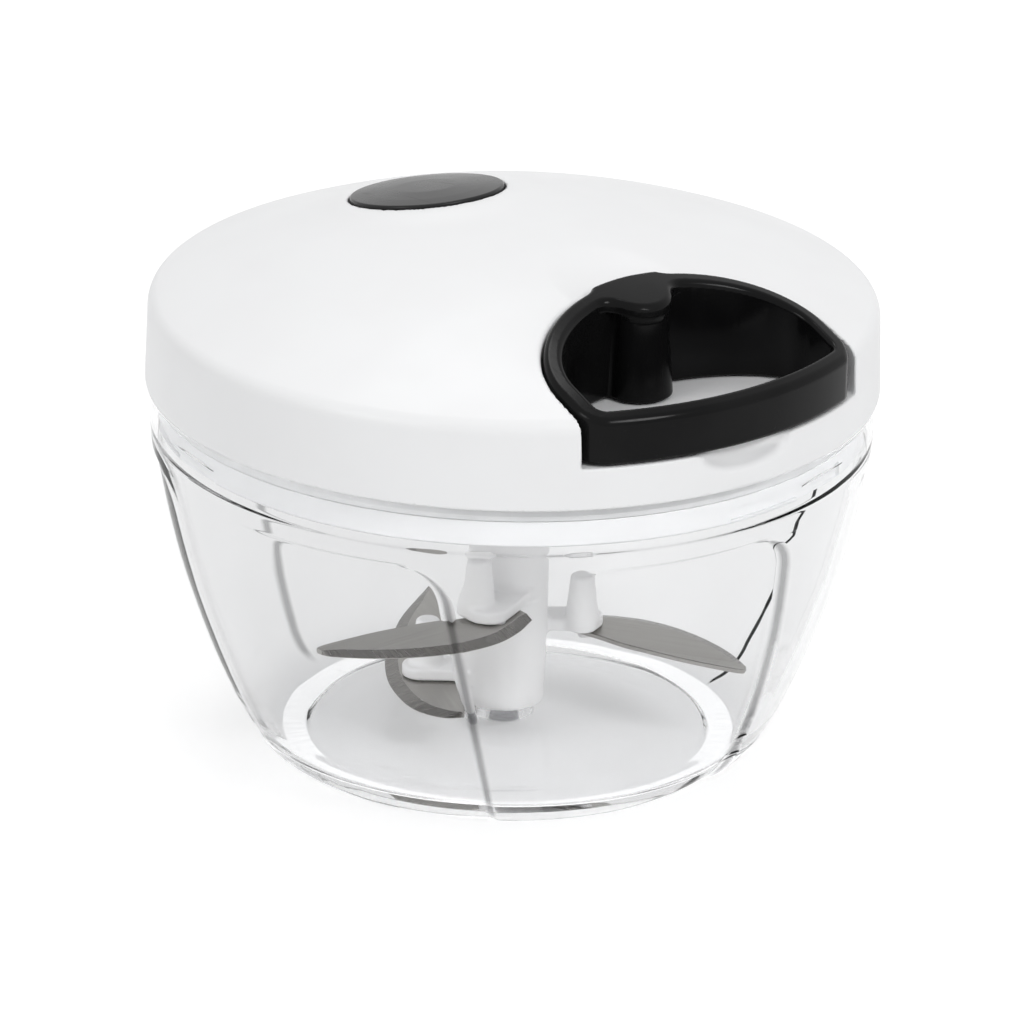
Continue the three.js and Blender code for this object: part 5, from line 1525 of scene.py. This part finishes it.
# %% The flat spiral spring
SPRING_LOW, SPRING_HIGH = box_mm("rewind_spring")
SPRING_INNER = 6.15
SPRING_OUTER = 15.25
SPRING_TURNS = 4
SPRING_THICKNESS = 0.45


def spring_mesh():
    half, blunt = SPRING_THICKNESS / 2, 0.12
    low, high = SPRING_LOW[2], SPRING_HIGH[2]
    section = [
        (-half + blunt, low), (half - blunt, low), (half, low + blunt), (half, high - blunt),
        (half - blunt, high), (-half + blunt, high), (-half, high - blunt), (-half, low + blunt),
    ]
    rings = []
    for share in np.linspace(0, 1, SPRING_TURNS * 72 + 1):
        a = share * SPRING_TURNS * 2 * math.pi
        middle = SPRING_INNER + share * (SPRING_OUTER - SPRING_INNER)
        rings.append([((middle + s) * math.cos(a), (middle + s) * math.sin(a), z) for s, z in section])
    points, faces = swept_rings(rings, False)
    faces += [list(range(8))[::-1], list(range(len(points) - 8, len(points)))]
    return new_mesh("flat_spring", points, faces, sharp_degrees=30)


add_piece("flat_spring", spring_mesh(), SPRING_STEEL, "drum", "spring_steel", ["rewind_spring"])
print("the spring has", SPRING_TURNS, "turns")

# %% [markdown]
# ## Eyelet
# The cord would saw through the plastic where it leaves the lid, so a flared metal eyelet lines the
# hole. It is turned about Z like the other round pieces and then laid over, so that its hole runs
# along Y.

# %% The eyelet in the notch's wall
EYELET_LOW, EYELET_HIGH = box_mm("cord_eyelet")
inner_end, outer_end = -EYELET_HIGH[1], -EYELET_LOW[1]
EYELET_HOLE, EYELET_TUBE, EYELET_FLANGE = 1.4, 2.6, 0.6
eyelet_corners = [
    (EYELET_HOLE, inner_end, 0.6), (EYELET_HIGH[0], inner_end, 0.2),
    (EYELET_HIGH[0], inner_end + EYELET_FLANGE, 0.2), (EYELET_TUBE, inner_end + EYELET_FLANGE, 0.1),
    (EYELET_TUBE, outer_end, 0.4), (EYELET_HOLE, outer_end, 0.7),
]
eyelet_mesh = turned_mesh("eyelet", eyelet_corners, 64)
laid_over = Matrix.Rotation(math.radians(90), 4, "X")
eyelet_mesh.transform(Matrix.Translation((0, 0, CORD_LEVEL * MM)) @ laid_over)
add_piece("eyelet", eyelet_mesh, BRIGHT_STEEL, "lid", "bright_steel", ["cord_eyelet"])
print("the eyelet is", round(outer_end - inner_end, 1), "mm long")

# %% [markdown]
# ## Cord
# The cord is one braided line: wound on the drum, bent through the eyelet, and knotted in the
# handle's post. It is made in four stretches, each a tube round a line in space. The wound stretch
# moves with the drum, the bent one with the lid and the knot with the handle. The stretch between
# the eyelet and the handle stays at its length at rest.


# %% A tube round a line in space
def tube_mesh(name, line, radius, closed=False, sides=18):
    """An open tube's rings turn as little as they can, and a closed one's face away from its middle."""
    line = np.array(line, float)
    around = np.vstack([line[-1], line, line[0]]) if closed else line
    ahead = np.gradient(around, axis=0)
    ahead = ahead[1:-1] if closed else ahead
    ahead /= np.linalg.norm(ahead, axis=1, keepdims=True)
    side = np.cross(ahead[0], (0.0, 0.0, 1.0) if abs(ahead[0][2]) < 0.9 else (1.0, 0.0, 0.0))
    turns = np.arange(sides) * 2 * math.pi / sides
    rings = []
    for centre, way in zip(line, ahead):
        side = np.cross(way, centre) if closed else side - way * (side @ way)
        side /= np.linalg.norm(side)
        up = np.cross(way, side)
        rings.append([tuple(centre + radius * (math.cos(a) * side + math.sin(a) * up)) for a in turns])
    if closed:
        return new_mesh(name, *swept_rings(rings, True), sharp_degrees=180)
    rings = [[tuple(line[0])], *rings, [tuple(line[-1])]]
    return new_mesh(name, *swept_rings(rings, False), sharp_degrees=60)


CORD_RADIUS = 0.95
WINDING_LOW, WINDING_HIGH = box_mm("cord_winding")
print("the cord is", 2 * CORD_RADIUS, "mm thick")

# %% The cord wound on the drum
LAYER_RADII = (DRUM_BARREL + 1.05, DRUM_BARREL + 2.95)
ROWS = (WINDING_LOW[2] + CORD_RADIUS, WINDING_HIGH[2] - CORD_RADIUS)
TURN_PLACES = [(LAYER_RADII[layer], ROWS[row]) for layer, row in ((0, 0), (0, 1), (1, 1), (1, 0))]
CROSSING_SHARE = 0.12


def winding_line():
    line = []
    for number, here in enumerate(TURN_PLACES):
        after = TURN_PLACES[min(number + 1, len(TURN_PLACES) - 1)]
        for share in np.arange(96) / 96:
            t = ease((share - 1 + CROSSING_SHARE) / CROSSING_SHARE)
            r, z = (a + (b - a) * t for a, b in zip(here, after))
            a = (number + share) * 2 * math.pi
            line.append((r * math.cos(a), r * math.sin(a), z))
    return line[:-2]


winding_mesh = tube_mesh("wound_cord", winding_line(), CORD_RADIUS - 0.03)
add_piece("wound_cord", winding_mesh, BRAIDED_NYLON, "drum", "cord", ["cord_winding"])
print("the drum holds", len(TURN_PLACES), "turns")

# %% The bend to the eyelet
BEND = EYELET_HIGH[1] + CORD_RADIUS
TOUCH_RADIUS = 20.549
RUN_START_SHARE = 0.699
LEAD_LOW, LEAD_HIGH = box_mm("cord_lead")
RUN_END = LEAD_HIGH[1] + 0.3


def run_line():
    """From beside the winding straight to the bend, round it, and out through the eyelet."""
    lean = math.acos(TOUCH_RADIUS / -BEND)
    touch = np.array([-math.sin(lean), -math.cos(lean)]) * TOUCH_RADIUS
    bend, out = np.array([0.0, BEND]), np.array([0.0, RUN_END])
    start = touch + (bend - touch) * RUN_START_SHARE
    before = bend + (start - bend) / np.linalg.norm(start - bend) * 0.35
    after = bend + (out - bend) / np.linalg.norm(out - bend) * 0.35
    line = [start + (before - start) * t for t in np.linspace(0, 1, 8, endpoint=False)]
    for t in np.linspace(0, 1, 10):
        line.append(before * (1 - t) ** 2 + 2 * bend * t * (1 - t) + after * t**2)
    line += [after + (out - after) * t for t in np.linspace(0, 1, 8)[1:]]
    return [(x, y, CORD_LEVEL) for x, y in line]


run_mesh = tube_mesh("bent_cord", run_line(), CORD_RADIUS)
add_piece("bent_cord", run_mesh, BRAIDED_NYLON, "lid", "cord", ["cord_run"])
print("the cord bends at", round(BEND, 2), "mm")

# %% The stretch to the handle, and the knot
lead_line = [(0, y, CORD_LEVEL) for y in np.linspace(LEAD_HIGH[1], LEAD_LOW[1], 28)]
lead = new_object("drawn_cord", tube_mesh("drawn_cord", lead_line, CORD_RADIUS))
lead.data.materials.append(BRAIDED_NYLON)
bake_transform(lead)
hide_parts("cord_lead")


def knot_line(size):
    """A trefoil, the knot that a simple overhand knot becomes when its ends are joined."""
    line = []
    for a in np.linspace(0, 2 * math.pi, 120, endpoint=False):
        reach = size * (2 + math.cos(3 * a)) / 3
        line.append((reach * math.cos(2 * a), size / 3 * math.sin(3 * a), reach * math.sin(2 * a)))
    return line


knot_mesh = tube_mesh("knot", knot_line(1.5), 0.75, closed=True)
knot_place = (0, KNOT_CENTRE, CORD_LEVEL)
add_piece("knot", knot_mesh, BRAIDED_NYLON, "handle", "cord", ["cord_knot"], place=knot_place)
print("the free stretch is", round(LEAD_HIGH[1] - LEAD_LOW[1], 1), "mm long at rest")
